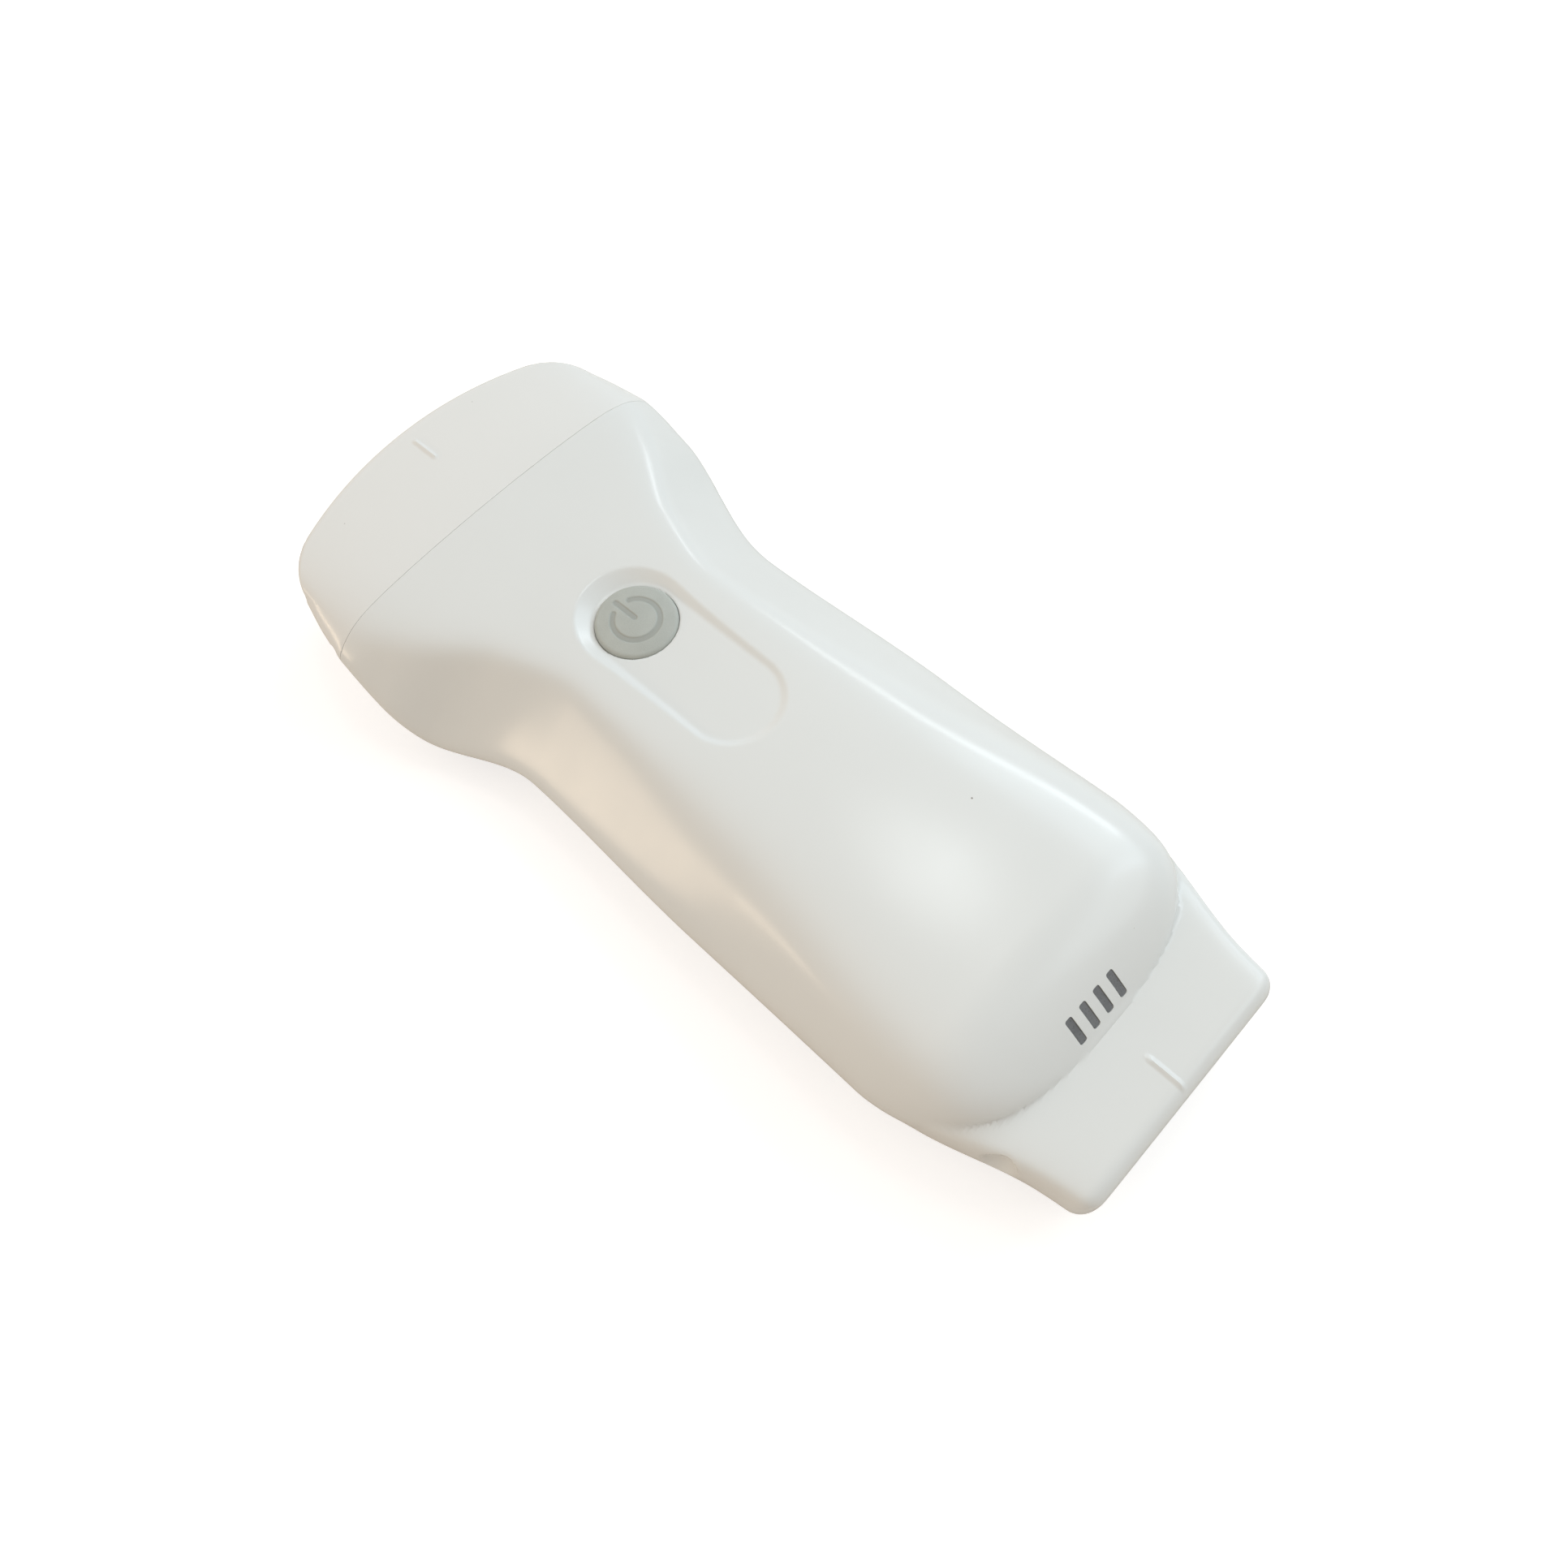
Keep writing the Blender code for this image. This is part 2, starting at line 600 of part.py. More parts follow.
def tilted_block(name, u, y, z, size, made_of=None, collection=cutters):
    """A box whose length lies along the body's end slope, centred at (u, y, z)."""
    bm = bmesh.new()
    bmesh.ops.create_cube(bm, size=1.0)
    bmesh.ops.scale(bm, vec=size, verts=bm.verts)
    bmesh.ops.rotate(bm, matrix=Matrix.Rotation(-LIGHT_TILT, 3, "Y"), verts=bm.verts)
    bmesh.ops.translate(bm, vec=(x_at(u), y, z), verts=bm.verts)
    return from_bmesh(name, bm, made_of, collection)


def from_slope(depth):
    """(u, z) of the point this deep under the middle of the lights, along the slope's normal."""
    z = skin_point(LIGHT_U, 0.0)
    return LIGHT_U + depth * math.sin(LIGHT_TILT), z - depth * math.cos(LIGHT_TILT)


def light_rows():
    return [LIGHT_PITCH * (i - (LIGHT_COUNT - 1) / 2) for i in range(LIGHT_COUNT)]


def rib(name, u):
    """A fine raised line along the middle, half sunk in the skin."""
    z = skin_point(u, 0.0)
    slope = math.atan2(skin_point(u + 1, 0.0) - skin_point(u - 1, 0.0), 2)
    bm = bmesh.new()
    bmesh.ops.create_cube(bm, size=1.0)
    bmesh.ops.scale(bm, vec=(RIB_LONG, RIB_WIDE, 2 * (RIB_PROUD + RIB_SUNK)), verts=bm.verts)
    bmesh.ops.rotate(bm, matrix=Matrix.Rotation(-slope, 3, "Y"), verts=bm.verts)
    bmesh.ops.translate(bm, vec=(x_at(u), 0, z - RIB_SUNK), verts=bm.verts)
    return from_bmesh(name, bm, None, cutters)


def dimple(name, u):
    """An oval hollow in the side wall, which marks the side that the image starts from."""
    r = reach(u, 0.0, 0.0)
    bm = bmesh.new()
    bmesh.ops.create_uvsphere(bm, u_segments=16, v_segments=8, radius=1.0)
    bmesh.ops.scale(bm, vec=(DIMPLE_LONG / 2, DIMPLE_DEEP, DIMPLE_TALL / 2), verts=bm.verts)
    bmesh.ops.translate(bm, vec=(x_at(u), r, POLE), verts=bm.verts)
    return from_bmesh(name, bm, None, cutters)


def boss_places():
    ends = (BOARD_FRONT - SCREW_FROM_END, BOARD_REAR + SCREW_FROM_END)
    return [(u, y) for u in ends for y in (-SCREW_Y, SCREW_Y)]


def upper_housing():
    housing = housing_blank("upper_housing")
    cut(housing, seam_box("below_seam", -BEYOND, SEAM_Z + GAP / 2))
    stations = [lip_stations()[0] - GAP] + lip_stations() + [PARTING - SPIGOT_LENGTH]
    top = SEAM_Z + LIP_HEIGHT + GAP
    for side_name, side_sign in (("left", 1), ("right", -1)):
        rebate = side_strip(
            f"{side_name}_rebate", stations, SEAM_Z - LIP_ROOT, top, LIP_OUT - GAP, LIP_IN + GAP, side_sign
        )
        cut(housing, rebate)
    for i, (u, y) in enumerate(boss_places(), 1):
        roof = skin_point(u, y) - WALL / 2
        boss = cylinder(f"boss_{i}", u, y, PARTS_Z, BOSS_RADIUS, roof - PARTS_Z, None, cutters, 16)
        cut(housing, boss, "UNION")
        bore_deep = BEYOND + SCREW_LONG - BOARD_THICK
        bore = cylinder(
            f"boss_bore_{i}", u, y, PARTS_Z - BEYOND, SCREW_RADIUS + GAP, bore_deep, None, cutters, 12
        )
        cut(housing, bore)
    cut(housing, recess_cutter())
    hole = cylinder(
        "button_hole", BUTTON_U, 0, recess_floor(BUTTON_U) - 4, BUTTON_RADIUS + GAP, 8, None, cutters, 40
    )
    cut(housing, hole)
    u, z = from_slope(0.0)
    for i, y in enumerate(light_rows(), 1):
        cut(housing, tilted_block(f"light_slot_{i}", u, y, z, (LIGHT_LONG, LIGHT_WIDE, 8.0)))
    cut(housing, rib("tip_rib", TIP_RIB_U), "UNION")
    cut(housing, dimple("tip_dimple", TIP_DIMPLE_U))
    cut(housing, seal_rebate())
    return housing


def seal_rebate():
    stations = (PARTING - SEAL_DEPTH - 2 * GAP, PARTING + GAP)
    return sleeve(
        "seal_rebate",
        [ring(u, SEAL_OUT - GAP) for u in stations],
        [ring(u, SPIGOT_IN) for u in stations],
    )


def bottom_cover():
    cover = housing_blank("bottom_cover")
    cut(cover, seam_box("above_seam", SEAM_Z - GAP / 2, BODY_TOP + BEYOND))
    stations, top = lip_stations(), SEAM_Z + LIP_HEIGHT
    for side_name, side_sign in (("left", 1), ("right", -1)):
        lip = side_strip(f"{side_name}_lip", stations, SEAM_Z - LIP_ROOT, top, LIP_OUT, LIP_IN, side_sign)
        cut(cover, lip, "UNION")
    cut(cover, bpy.data.objects["seal_rebate"])
    return cover


def nose_stations():
    edge = [LENGTH - NOSE_EDGE, LENGTH - 0.55 * NOSE_EDGE, LENGTH - 0.2 * NOSE_EDGE, LENGTH]
    return spaced(PARTING + GAP / 2, LENGTH - 2.5 * NOSE_EDGE, 4) + edge


def nose_cap():
    rings = [ring(u) for u in nose_stations()]
    cap = plug("nose_cap", rings + arc_face(rings[-1], LENGTH, CONVEX_Z), white_plastic)
    back = LENGTH - NOSE_FACE_WALL
    inside = [ring(u, NOSE_WALL, INNER_ROWS) for u in (PARTING, PARTING + 8, back)]
    inside = [moved(inside[0], PARTING - 1)] + inside + arc_face(inside[-1], back, CONVEX_Z)
    cut(cap, plug("nose_cavity", inside, collection=cutters))
    opening = ring(LENGTH, NOSE_OPENING)
    opening = [moved(opening, PARTING + BEYOND / 2), moved(opening, LENGTH + BEYOND)]
    cut(cap, plug("nose_opening", opening, collection=cutters))
    stations = spigot_stations() + [PARTING + 3]
    spigot = sleeve(
        "spigot",
        [ring(u, WALL + GAP, INNER_ROWS) for u in stations],
        [ring(u, SPIGOT_IN, INNER_ROWS) for u in stations],
    )
    cut(cap, spigot, "UNION")
    cut(cap, rib("nose_rib", NOSE_RIB_U), "UNION")
    cut(cap, dimple("nose_dimple", NOSE_DIMPLE_U))
    return cap


def nose_seal():
    stations = (PARTING - SEAL_DEPTH - GAP, PARTING - GAP)
    sleeve(
        "nose_seal",
        [ring(u, SEAL_OUT) for u in stations],
        [ring(u, SEAL_IN) for u in stations],
        seal_rubber,
        parts,
    )


def convex_lens():
    outline = ring(LENGTH, NOSE_OPENING + GAP)
    rings = []
    for depth in (LENS_DEPTH, 0.0):
        rings.append([Vector((x_at(bent(LENGTH, p.y) - depth), p.y, p.z)) for p in outline])
    back = [[p - Vector((LENS_DEPTH, 0, 0)) for p in r] for r in arc_face(outline, LENGTH, CONVEX_Z)]
    plug("convex_lens", back[::-1] + rings + arc_face(outline, LENGTH, CONVEX_Z, LENS_PROUD), lens_silicone)


def linear_lens():
    outline = ring(0, TIP_OPENING + GAP)
    front = moved(outline, 0)
    rings = [moved(outline, LENS_DEPTH), front]
    for share in (0.96, 0.8, 0.5, 0.2):
        rise = LENS_PROUD * math.sqrt(1 - share**4)
        rings.append([Vector((x_at(-rise), p.y * share, LINEAR_Z + (p.z - LINEAR_Z) * share)) for p in front])
    plug("linear_lens", rings, lens_silicone)


def arc_slab(name, half, tall, front_depth, back_depth, made_of):
    """A slab that follows the nose's arc, between two depths behind its front."""
    outline = []
    for depth, order in ((front_depth, 1), (back_depth, -1)):
        row = []
        for y in spaced(-half, half, 15)[::order]:
            radius = NOSE_RADIUS - depth
            row.append((LENGTH - NOSE_RADIUS + math.sqrt(radius**2 - y * y), y))
        outline += row
    heights = (CONVEX_Z - tall / 2, CONVEX_Z + tall / 2)
    rings = [[Vector((x_at(x), y, z)) for x, y in outline] for z in heights]
    return plug(name, rings, made_of)


def ribbon(name, path, half, made_of):
    """A flat film that follows (u, z) points, wide across Y."""
    centre = [Vector((u, z)) for u, z in path]
    upper, lower = [], []
    for i, point in enumerate(centre):
        ahead = centre[min(i + 1, len(centre) - 1)] - centre[max(i - 1, 0)]
        normal = Vector((-ahead.y, ahead.x)).normalized() * FLEX_THICK / 2
        upper.append(point + normal)
        lower.append(point - normal)
    outline = upper + lower[::-1]
    rings = [[Vector((x_at(p.x), y, p.y)) for p in outline] for y in (-half, half)]
    return plug(name, rings, made_of)


def bend_path(start, end, count=9):
    """A gentle S from start to end in (u, z), level at both ends."""
    path = []
    for i in range(count):
        t = i / (count - 1)
        eased = t * t * (3 - 2 * t)
        path.append((start[0] + (end[0] - start[0]) * t, start[1] + (end[1] - start[1]) * eased))
    return path


def transducers():
    convex_lens()
    linear_lens()
    depth = LENS_DEPTH + NOSE_EDGE / 2 + GAP
    arc_slab("convex_array", CONVEX_HALF, CONVEX_TALL, depth, depth + ARRAY_DEPTH, ceramic)
    depth += ARRAY_DEPTH + GAP
    arc_slab("convex_backing", CONVEX_HALF, CONVEX_TALL, depth, depth + CONVEX_BACKING, backing_resin)
    start = LENS_DEPTH + GAP
    block(
        "linear_array",
        start + ARRAY_DEPTH / 2,
        0,
        LINEAR_Z - LINEAR_TALL / 2,
        (ARRAY_DEPTH, 2 * LINEAR_HALF, LINEAR_TALL),
        ceramic,
    )
    start += ARRAY_DEPTH + GAP
    block(
        "linear_backing",
        start + LINEAR_BACKING / 2,
        0,
        LINEAR_Z - LINEAR_TALL / 2,
        (LINEAR_BACKING, 2 * LINEAR_HALF, LINEAR_TALL),
        backing_resin,
        bevel=0.5,
    )
    plug_z = PARTS_Z + CONNECTOR_TALL / 2
    rear_connector = BOARD_REAR + CONNECTOR_IN + CONNECTOR_LONG / 2
    front_connector = BOARD_FRONT - CONNECTOR_IN - CONNECTOR_LONG / 2
    for name, u, wide in (
        ("linear_connector", rear_connector, LINEAR_PLUG_WIDE),
        ("convex_connector", front_connector, CONVEX_PLUG_WIDE),
    ):
        block(name, u, 0, PARTS_Z, (CONNECTOR_LONG, wide, CONNECTOR_TALL), connector_nylon)
    linear_start = (start + LINEAR_BACKING + GAP, LINEAR_Z)
    linear_end = (rear_connector - CONNECTOR_LONG / 2 - GAP, plug_z)
    ribbon("linear_flex", bend_path(linear_start, linear_end), LINEAR_FLEX_HALF, flex_film)
    convex_start = (front_connector + CONNECTOR_LONG / 2 + GAP, plug_z)
    sag = NOSE_RADIUS - math.sqrt(NOSE_RADIUS**2 - CONVEX_FLEX_HALF**2)
    convex_end = (LENGTH - depth - CONVEX_BACKING - sag - GAP, CONVEX_Z)
    ribbon("convex_flex", bend_path(convex_start, convex_end), CONVEX_FLEX_HALF, flex_film)


def power_button():
    """A domed silicone cap with a flange that keeps it under the housing, and a stem to its switch."""
    floor = recess_floor(BUTTON_U)
    roof = skin_point(BUTTON_U, BUTTON_RADIUS + BUTTON_FLANGE) - WALL
    edge = floor + BUTTON_RISE
    flange_top = roof - GAP
    flange_bottom = flange_top - FLANGE_THICK
    stem_bottom = PARTS_Z + SWITCH_TALL + BUTTON_TRAVEL + STEM_CLEAR
    profile = [(0.0, edge + BUTTON_DOME)]
    for step in range(1, 7):
        share = step / 6
        profile.append((share * (BUTTON_RADIUS - BUTTON_EDGE), edge + BUTTON_DOME * (1 - share * share)))
    profile += [
        (BUTTON_RADIUS, edge - BUTTON_EDGE),
        (BUTTON_RADIUS, flange_top),
        (BUTTON_RADIUS + BUTTON_FLANGE, flange_top),
        (BUTTON_RADIUS + BUTTON_FLANGE, flange_bottom),
        (STEM_RADIUS, flange_bottom),
        (STEM_RADIUS, stem_bottom),
        (0.0, stem_bottom),
    ]
    bm = bmesh.new()
    verts = [bm.verts.new((r * MM, 0, (z - floor) * MM)) for r, z in profile]
    for first, second in zip(verts, verts[1:]):
        bm.edges.new((first, second))
    data = bpy.data.meshes.new("power_button")
    bm.to_mesh(data)
    bm.free()
    button = bpy.data.objects.new("power_button", data)
    parts.objects.link(button)
    data.materials.append(button_silicone)
    button.location = (x_at(BUTTON_U) * MM, 0, floor * MM)
    turn = button.modifiers.new("turned", "SCREW")
    turn.steps = turn.render_steps = 40
    turn.use_merge_vertices = True
    turn.merge_threshold = 0.00001
    turn.use_smooth_shade = True
    return button


def switch_and_lights():
    size = (SWITCH_SIDE, SWITCH_SIDE, SWITCH_TALL)
    block("power_switch", BUTTON_U, 0, PARTS_Z, size, tinned_steel, bevel=SWITCH_EDGE)
    u, z = from_slope(LIGHT_BAR_DEPTH + LIGHT_BAR_THICK / 2)
    width = LIGHT_PITCH * (LIGHT_COUNT - 1) + LIGHT_WIDE + 2 * LIGHT_BAR_MARGIN
    guide = tilted_block("light_guide", u, 0, z, (LIGHT_LONG, width, LIGHT_BAR_THICK), smoked_plastic, parts)
    prong = LIGHT_BAR_DEPTH + LIGHT_BAR_THICK / 2 - LIGHT_SUNK
    pu, pz = from_slope(LIGHT_SUNK + prong / 2)
    for i, y in enumerate(light_rows(), 1):
        size = (LIGHT_LONG - 2 * LIGHT_CLEAR, LIGHT_WIDE - 2 * LIGHT_CLEAR, prong)
        cut(guide, tilted_block(f"prong_{i}", pu, y, pz, size), "UNION")
    u, z = from_slope(LIGHT_BAR_DEPTH + LIGHT_BAR_THICK + GAP + LED_STRIP_THICK / 2)
    tilted_block("led_strip", u, 0, z, (LIGHT_LONG, width, LED_STRIP_THICK), board_laminate, parts)


def main_board():
    middle = (BOARD_FRONT + BOARD_REAR) / 2
    size = (BOARD_FRONT - BOARD_REAR, 2 * BOARD_HALF, BOARD_THICK)
    board = block("main_board", middle, 0, BOARD_Z, size, board_laminate)
    head_z = BOARD_Z - GAP - SCREW_HEAD_THICK
    for i, (u, y) in enumerate(boss_places(), 1):
        cut(board, cylinder(f"board_hole_{i}", u, y, BOARD_Z - 2, SCREW_RADIUS + GAP, 6, None, cutters, 12))
        screw = cylinder(
            f"board_screw_{i}", u, y, head_z, SCREW_HEAD_RADIUS, SCREW_HEAD_THICK, tinned_steel, parts, 16
        )
        shank_z = head_z + SHANK_SUNK
        shank = cylinder(f"screw_shank_{i}", u, y, shank_z, SCREW_RADIUS, SCREW_LONG, None, cutters, 12)
        cut(screw, shank, "UNION")


def electronics():
    main_board()
    halves = (-CHIP_PITCH / 2, CHIP_PITCH / 2)
    places = [(CHIP_U + step, y) for step in halves for y in halves]
    for i, (u, y) in enumerate(places, 1):
        block(f"beamformer_chip_{i}", u, y, PARTS_Z, (CHIP_SIDE, CHIP_SIDE, CHIP_THICK), chip_plastic)
    block(
        "processor_chip", PROCESSOR_U, 0, PARTS_Z, (PROCESSOR_SIDE, PROCESSOR_SIDE, CHIP_THICK), chip_plastic
    )
    size = (SHIELD_LONG, SHIELD_WIDE, SHIELD_TALL)
    block("radio_shield", SHIELD_U, 0, PARTS_Z, size, tinned_steel, bevel=SHIELD_EDGE)
    rear = CHIP_U - CHIP_PITCH / 2 - CHIP_SIDE / 2 + SPREADER_MARGIN
    front = PROCESSOR_U + PROCESSOR_SIDE / 2
    size = (front - rear, CHIP_PITCH + CHIP_SIDE, SPREADER_THICK)
    block("heat_spreader", (rear + front) / 2, 0, PARTS_Z + CHIP_THICK + GAP, size, aluminium)
    roof = min(skin_point(ANTENNA_U + s * ANTENNA_LONG / 2, ANTENNA_WIDE / 2) for s in (-1, 1)) - WALL
    block(
        "radio_antenna",
        ANTENNA_U,
        0,
        roof - GAP - ANTENNA_THICK,
        (ANTENNA_LONG, ANTENNA_WIDE, ANTENNA_THICK),
        flex_film,
    )


def power_stack():
    coil = cylinder("charging_coil", BATTERY_U, 0, FLOOR_Z, COIL_RADIUS, COIL_THICK, copper, parts, 40)
    cut(coil, cylinder("coil_hole", BATTERY_U, 0, FLOOR_Z - 1, COIL_HOLE, COIL_THICK + 2, None, cutters, 32))
    block("ferrite_sheet", BATTERY_U, 0, FERRITE_Z, (FERRITE_SIDE, FERRITE_SIDE, FERRITE_THICK), ferrite)
    block(
        "battery_pack",
        BATTERY_U,
        0,
        BATTERY_Z,
        (BATTERY_LONG, BATTERY_WIDE, BATTERY_THICK),
        battery_film,
        bevel=BATTERY_EDGE,
    )
    block("battery_pad", BATTERY_U, 0, PAD_Z, (PAD_LONG, PAD_WIDE, PAD_THICK), foam)
    plug_z = BOARD_Z - GAP - PLUG_TALL
    plug_rear = BATTERY_FRONT + LEAD_LONG + GAP
    size = (PLUG_LONG, PLUG_WIDE, PLUG_TALL)
    block("battery_connector", plug_rear + PLUG_LONG / 2, 0, plug_z, size, connector_nylon)
    curve = bpy.data.curves.new("battery_lead", "CURVE")
    curve.dimensions = "3D"
    curve.bevel_depth = LEAD_RADIUS * MM
    curve.bevel_resolution = 2
    curve.use_fill_caps = True
    spline = curve.splines.new("POLY")
    start = (BATTERY_FRONT + GAP, BATTERY_Z + BATTERY_THICK - LEAD_UNDER_TOP)
    path = bend_path(start, (BATTERY_FRONT + LEAD_LONG, plug_z + PLUG_TALL / 2), 6)
    spline.points.add(len(path) - 1)
    for point, (u, z) in zip(spline.points, path):
        point.co = (x_at(u) * MM, 0, z * MM, 1)
    lead = bpy.data.objects.new("battery_lead", curve)
    parts.objects.link(lead)
    curve.materials.append(seal_rubber)


upper_housing()
bottom_cover()
nose_cap()
nose_seal()
transducers()
power_button()
switch_and_lights()
electronics()
power_stack()
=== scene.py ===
"""Looks of the handheld ultrasound scanner: dense shells over the CAD form, materials and studio.

Sizes are in millimetres and become metres when a mesh is made. Places along the scanner are given
as u, the distance from the tip of the linear head.
"""

import json
import math

import bpy
import numpy as np
from mathutils import Matrix, Vector


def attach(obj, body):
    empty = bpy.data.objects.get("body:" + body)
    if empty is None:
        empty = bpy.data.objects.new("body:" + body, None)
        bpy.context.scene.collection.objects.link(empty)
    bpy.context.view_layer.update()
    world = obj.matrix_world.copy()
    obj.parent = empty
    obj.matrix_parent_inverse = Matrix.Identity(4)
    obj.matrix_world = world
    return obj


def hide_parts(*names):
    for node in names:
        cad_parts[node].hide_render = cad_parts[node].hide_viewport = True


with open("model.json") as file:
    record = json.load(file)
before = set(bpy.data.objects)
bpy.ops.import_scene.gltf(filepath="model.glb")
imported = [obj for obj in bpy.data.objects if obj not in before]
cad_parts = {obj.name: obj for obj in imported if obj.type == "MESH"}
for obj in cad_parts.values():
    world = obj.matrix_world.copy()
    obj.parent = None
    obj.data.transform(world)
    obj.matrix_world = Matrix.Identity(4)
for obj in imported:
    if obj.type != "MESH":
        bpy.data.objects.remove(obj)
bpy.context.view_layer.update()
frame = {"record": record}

MM = 0.001

# The form: the CAD's sizes, apart from the nose's sides, the light slots and the ribs, which follow
# the photograph more closely here
LENGTH = 152.0
TIP_HALF = 19.3
BODY_HALF = 26.5
WAIST_HALF = 25.4
SHOULDER_HALF = 32.5
NOSE_HALF = 29.1
BODY_TOP = 23.4
WAIST_TOP = 20.8
NOSE_TOP = 18.8
HEAD_TOP = 15.4
TIP_BOTTOM = 1.2
NOSE_BOTTOM = 2.4
POLE = 9.5
CROWN_SPAN = 52.0
HEAD_SPAN = 120.0
HEAD_SHARP = 14.0
HEAD_SIDE_LEAN = 0.6
HEAD_BELLY_IN = 3.5
HEAD_SINK, HEAD_SINK_FROM, HEAD_SINK_SPAN = 3.0, 24.0, 16.0
BUMP_FOOT = 12.4
BUMP_RISE = 14.6
HEAD_END = BUMP_FOOT + 32  # past it, the section is the body's alone
BLEND_SIDE, BLEND_TOP = 0.02, 1.2  # softness of the crease between head and bump
BODY_AT = 31.0
WAIST = LENGTH - 57.0
SHOULDER = LENGTH - 31.0
PARTING = LENGTH - 23.0
NOSE_RADIUS = 65.0
NOSE_EDGE = 2.2
TIP_EDGE = 2.5
WALL = 2.0
NOSE_WALL = 3.0
GAP = 0.3
SEAM_Z = 4.0
SPIGOT_LENGTH = 3.0
SPIGOT_IN = 3.8
SEAL_OUT = 1.3
SEAL_DEPTH = 1.0
TIP_OPENING = 3.5
NOSE_OPENING = 4.0
TIP_WALL = 3.2
NOSE_FACE_WALL = 3.6
LENS_PROUD = 0.5
LENS_DEPTH = 2.4
LINEAR_Z = 8.6
CONVEX_Z = 11.0
BUTTON_U = WAIST + 2.0
BUTTON_RADIUS = 6.0
BUTTON_DOME = 0.5
BUTTON_RISE = 0.5
BUTTON_FLANGE = 1.3
FLANGE_THICK = 0.8
RECESS_HALF = 8.6
RECESS_LENGTH = 36.5
RECESS_DEPTH, RECESS_REAR_DEPTH = 1.0, 0.6
RECESS_BEVEL = 1.9
LIGHT_COUNT = 4
LIGHT_PITCH = 2.7
LIGHT_U = 15.0
LIGHT_WIDE, LIGHT_LONG = 1.25, 4.3
LIGHT_TILT = math.radians(41.0)
RIB_LONG, RIB_WIDE, RIB_PROUD = 5.0, 0.55, 0.27
NOSE_RIB_U, TIP_RIB_U = 145.0, 3.9

HALF_WIDTH = [
    (0, TIP_HALF),
    (7, TIP_HALF + 1.1),
    (22, BODY_HALF - 1.6),
    (BODY_AT, BODY_HALF),
    (BODY_AT + 30, BODY_HALF),
    (WAIST, WAIST_HALF),
    (SHOULDER, SHOULDER_HALF),
    (LENGTH - 12, 31.05),
    (LENGTH, NOSE_HALF),
]
EQUATOR_Z = [
    (0, 8.4),
    (60, 9.2),
    (WAIST, 8.2),
    (WAIST + 17, 4.8),
    (SHOULDER, 9.0),
    (PARTING + 2, 14.0),
    (LENGTH, 14.4),
]
RIDGE_Y = [
    (0, 22.0),
    (27, 23.0),
    (60, 18.5),
    (WAIST, 15.6),
    (WAIST + 13, 19.0),
    (SHOULDER, 26.5),
    (PARTING, 29.0),
    (LENGTH, 28.6),
]
RIDGE_Z = [(0, 20.0), (30, 20.0), (60, 19.2), (WAIST, 18.2), (SHOULDER, 17.3), (LENGTH, 17.9)]
CROWN_Z = [(0, BODY_TOP), (30, BODY_TOP), (WAIST, WAIST_TOP), (PARTING, 20.4), (LENGTH, NOSE_TOP)]
BELLY_HALF = [(0, 15.0), (40, 19.0), (WAIST, 17.0), (SHOULDER, 20.0), (LENGTH, 17.0)]
BOTTOM_Z = [
    (0, TIP_BOTTOM),
    (18, 0.0),
    (SHOULDER, 0.0),
    (LENGTH - 12, 0.8),
    (LENGTH, NOSE_BOTTOM),
]
SHARPNESS = [
    (0, 8.0),
    (40, 9.0),
    (70, 14.0),
    (WAIST, 24.0),
    (SHOULDER, 18.0),
    (LENGTH, 18.0),
]
LEAST_HALF, LEAST_RIDGE = 3.0, 2.0  # what the bump's end slope leaves of the body's section

# Fine form that only the dense shells carry
CORNER_WIDE, CORNER_DROP = 6.75, 4.4  # rounding of the nose's corners in plan
CORNER_TURN = 0.97  # share of a quarter turn that the rounding takes, by its sine
SEEN_GAP = 0.05  # between the mouldings, at the skin
LIP_ROUND = 0.08  # rounding of the mouldings' edges at the seam and the parting line
CAP_RADIUS = 6.15  # of the finished button, which fills its hole more closely than the solid
BUTTON_FIT = 0.07
HOLE_REACH = 4.0  # of the hole's cutter, over and under the recess's floor
HOLE_ROUND = 0.18  # rounding of the recess floor into the button's hole
RECESS_ROUND = 0.15
TIP_DIMPLE = (11.9, 11.8, 2.3, 3.0, 1.5)  # place, height, half length, half height, depth
NOSE_DIMPLE = (133.4, 13.2, 3.0, 1.5, 0.5)
DIMPLE_ROUND = 0.14  # softness of a dimple's edge, as a share of its depth
RIB_FADE, RIB_SHAPE = 0.3, 0.7  # width and power of a rib's flank
FLAT_WITHIN = 0.06  # the skin this close to the flat underside lies on it
SLOT_REACH, SLOT_CORNER = 8.0, 0.35  # length and corner radius of a slot's cutter
TOP_HALF = 10.8  # half-width of the strip with evenly spaced rows, which holds the recess
TOP_STEP = 0.21
SEAM_ROWS = (0.08, 0.16, 0.3, 0.5)
LIP_STATIONS = (0.0, 0.02, 0.06, 0.12, 0.2, 0.4, 0.7)
BOTTOM_ROWS, BELLY_ROWS, LOW_SIDE_ROWS, SIDE_ROWS, CROWN_ROWS = 9, 6, 8, 20, 13
ROW_GAP, RIDGE_GAP = 0.02, 0.05  # least angles between neighbouring groups of rows
LENS_POINTS = 160
LENS_FIT = 0.1  # between a lens and its opening
OUTSIDE = (-10.0, 60.0)  # heights under and over everything


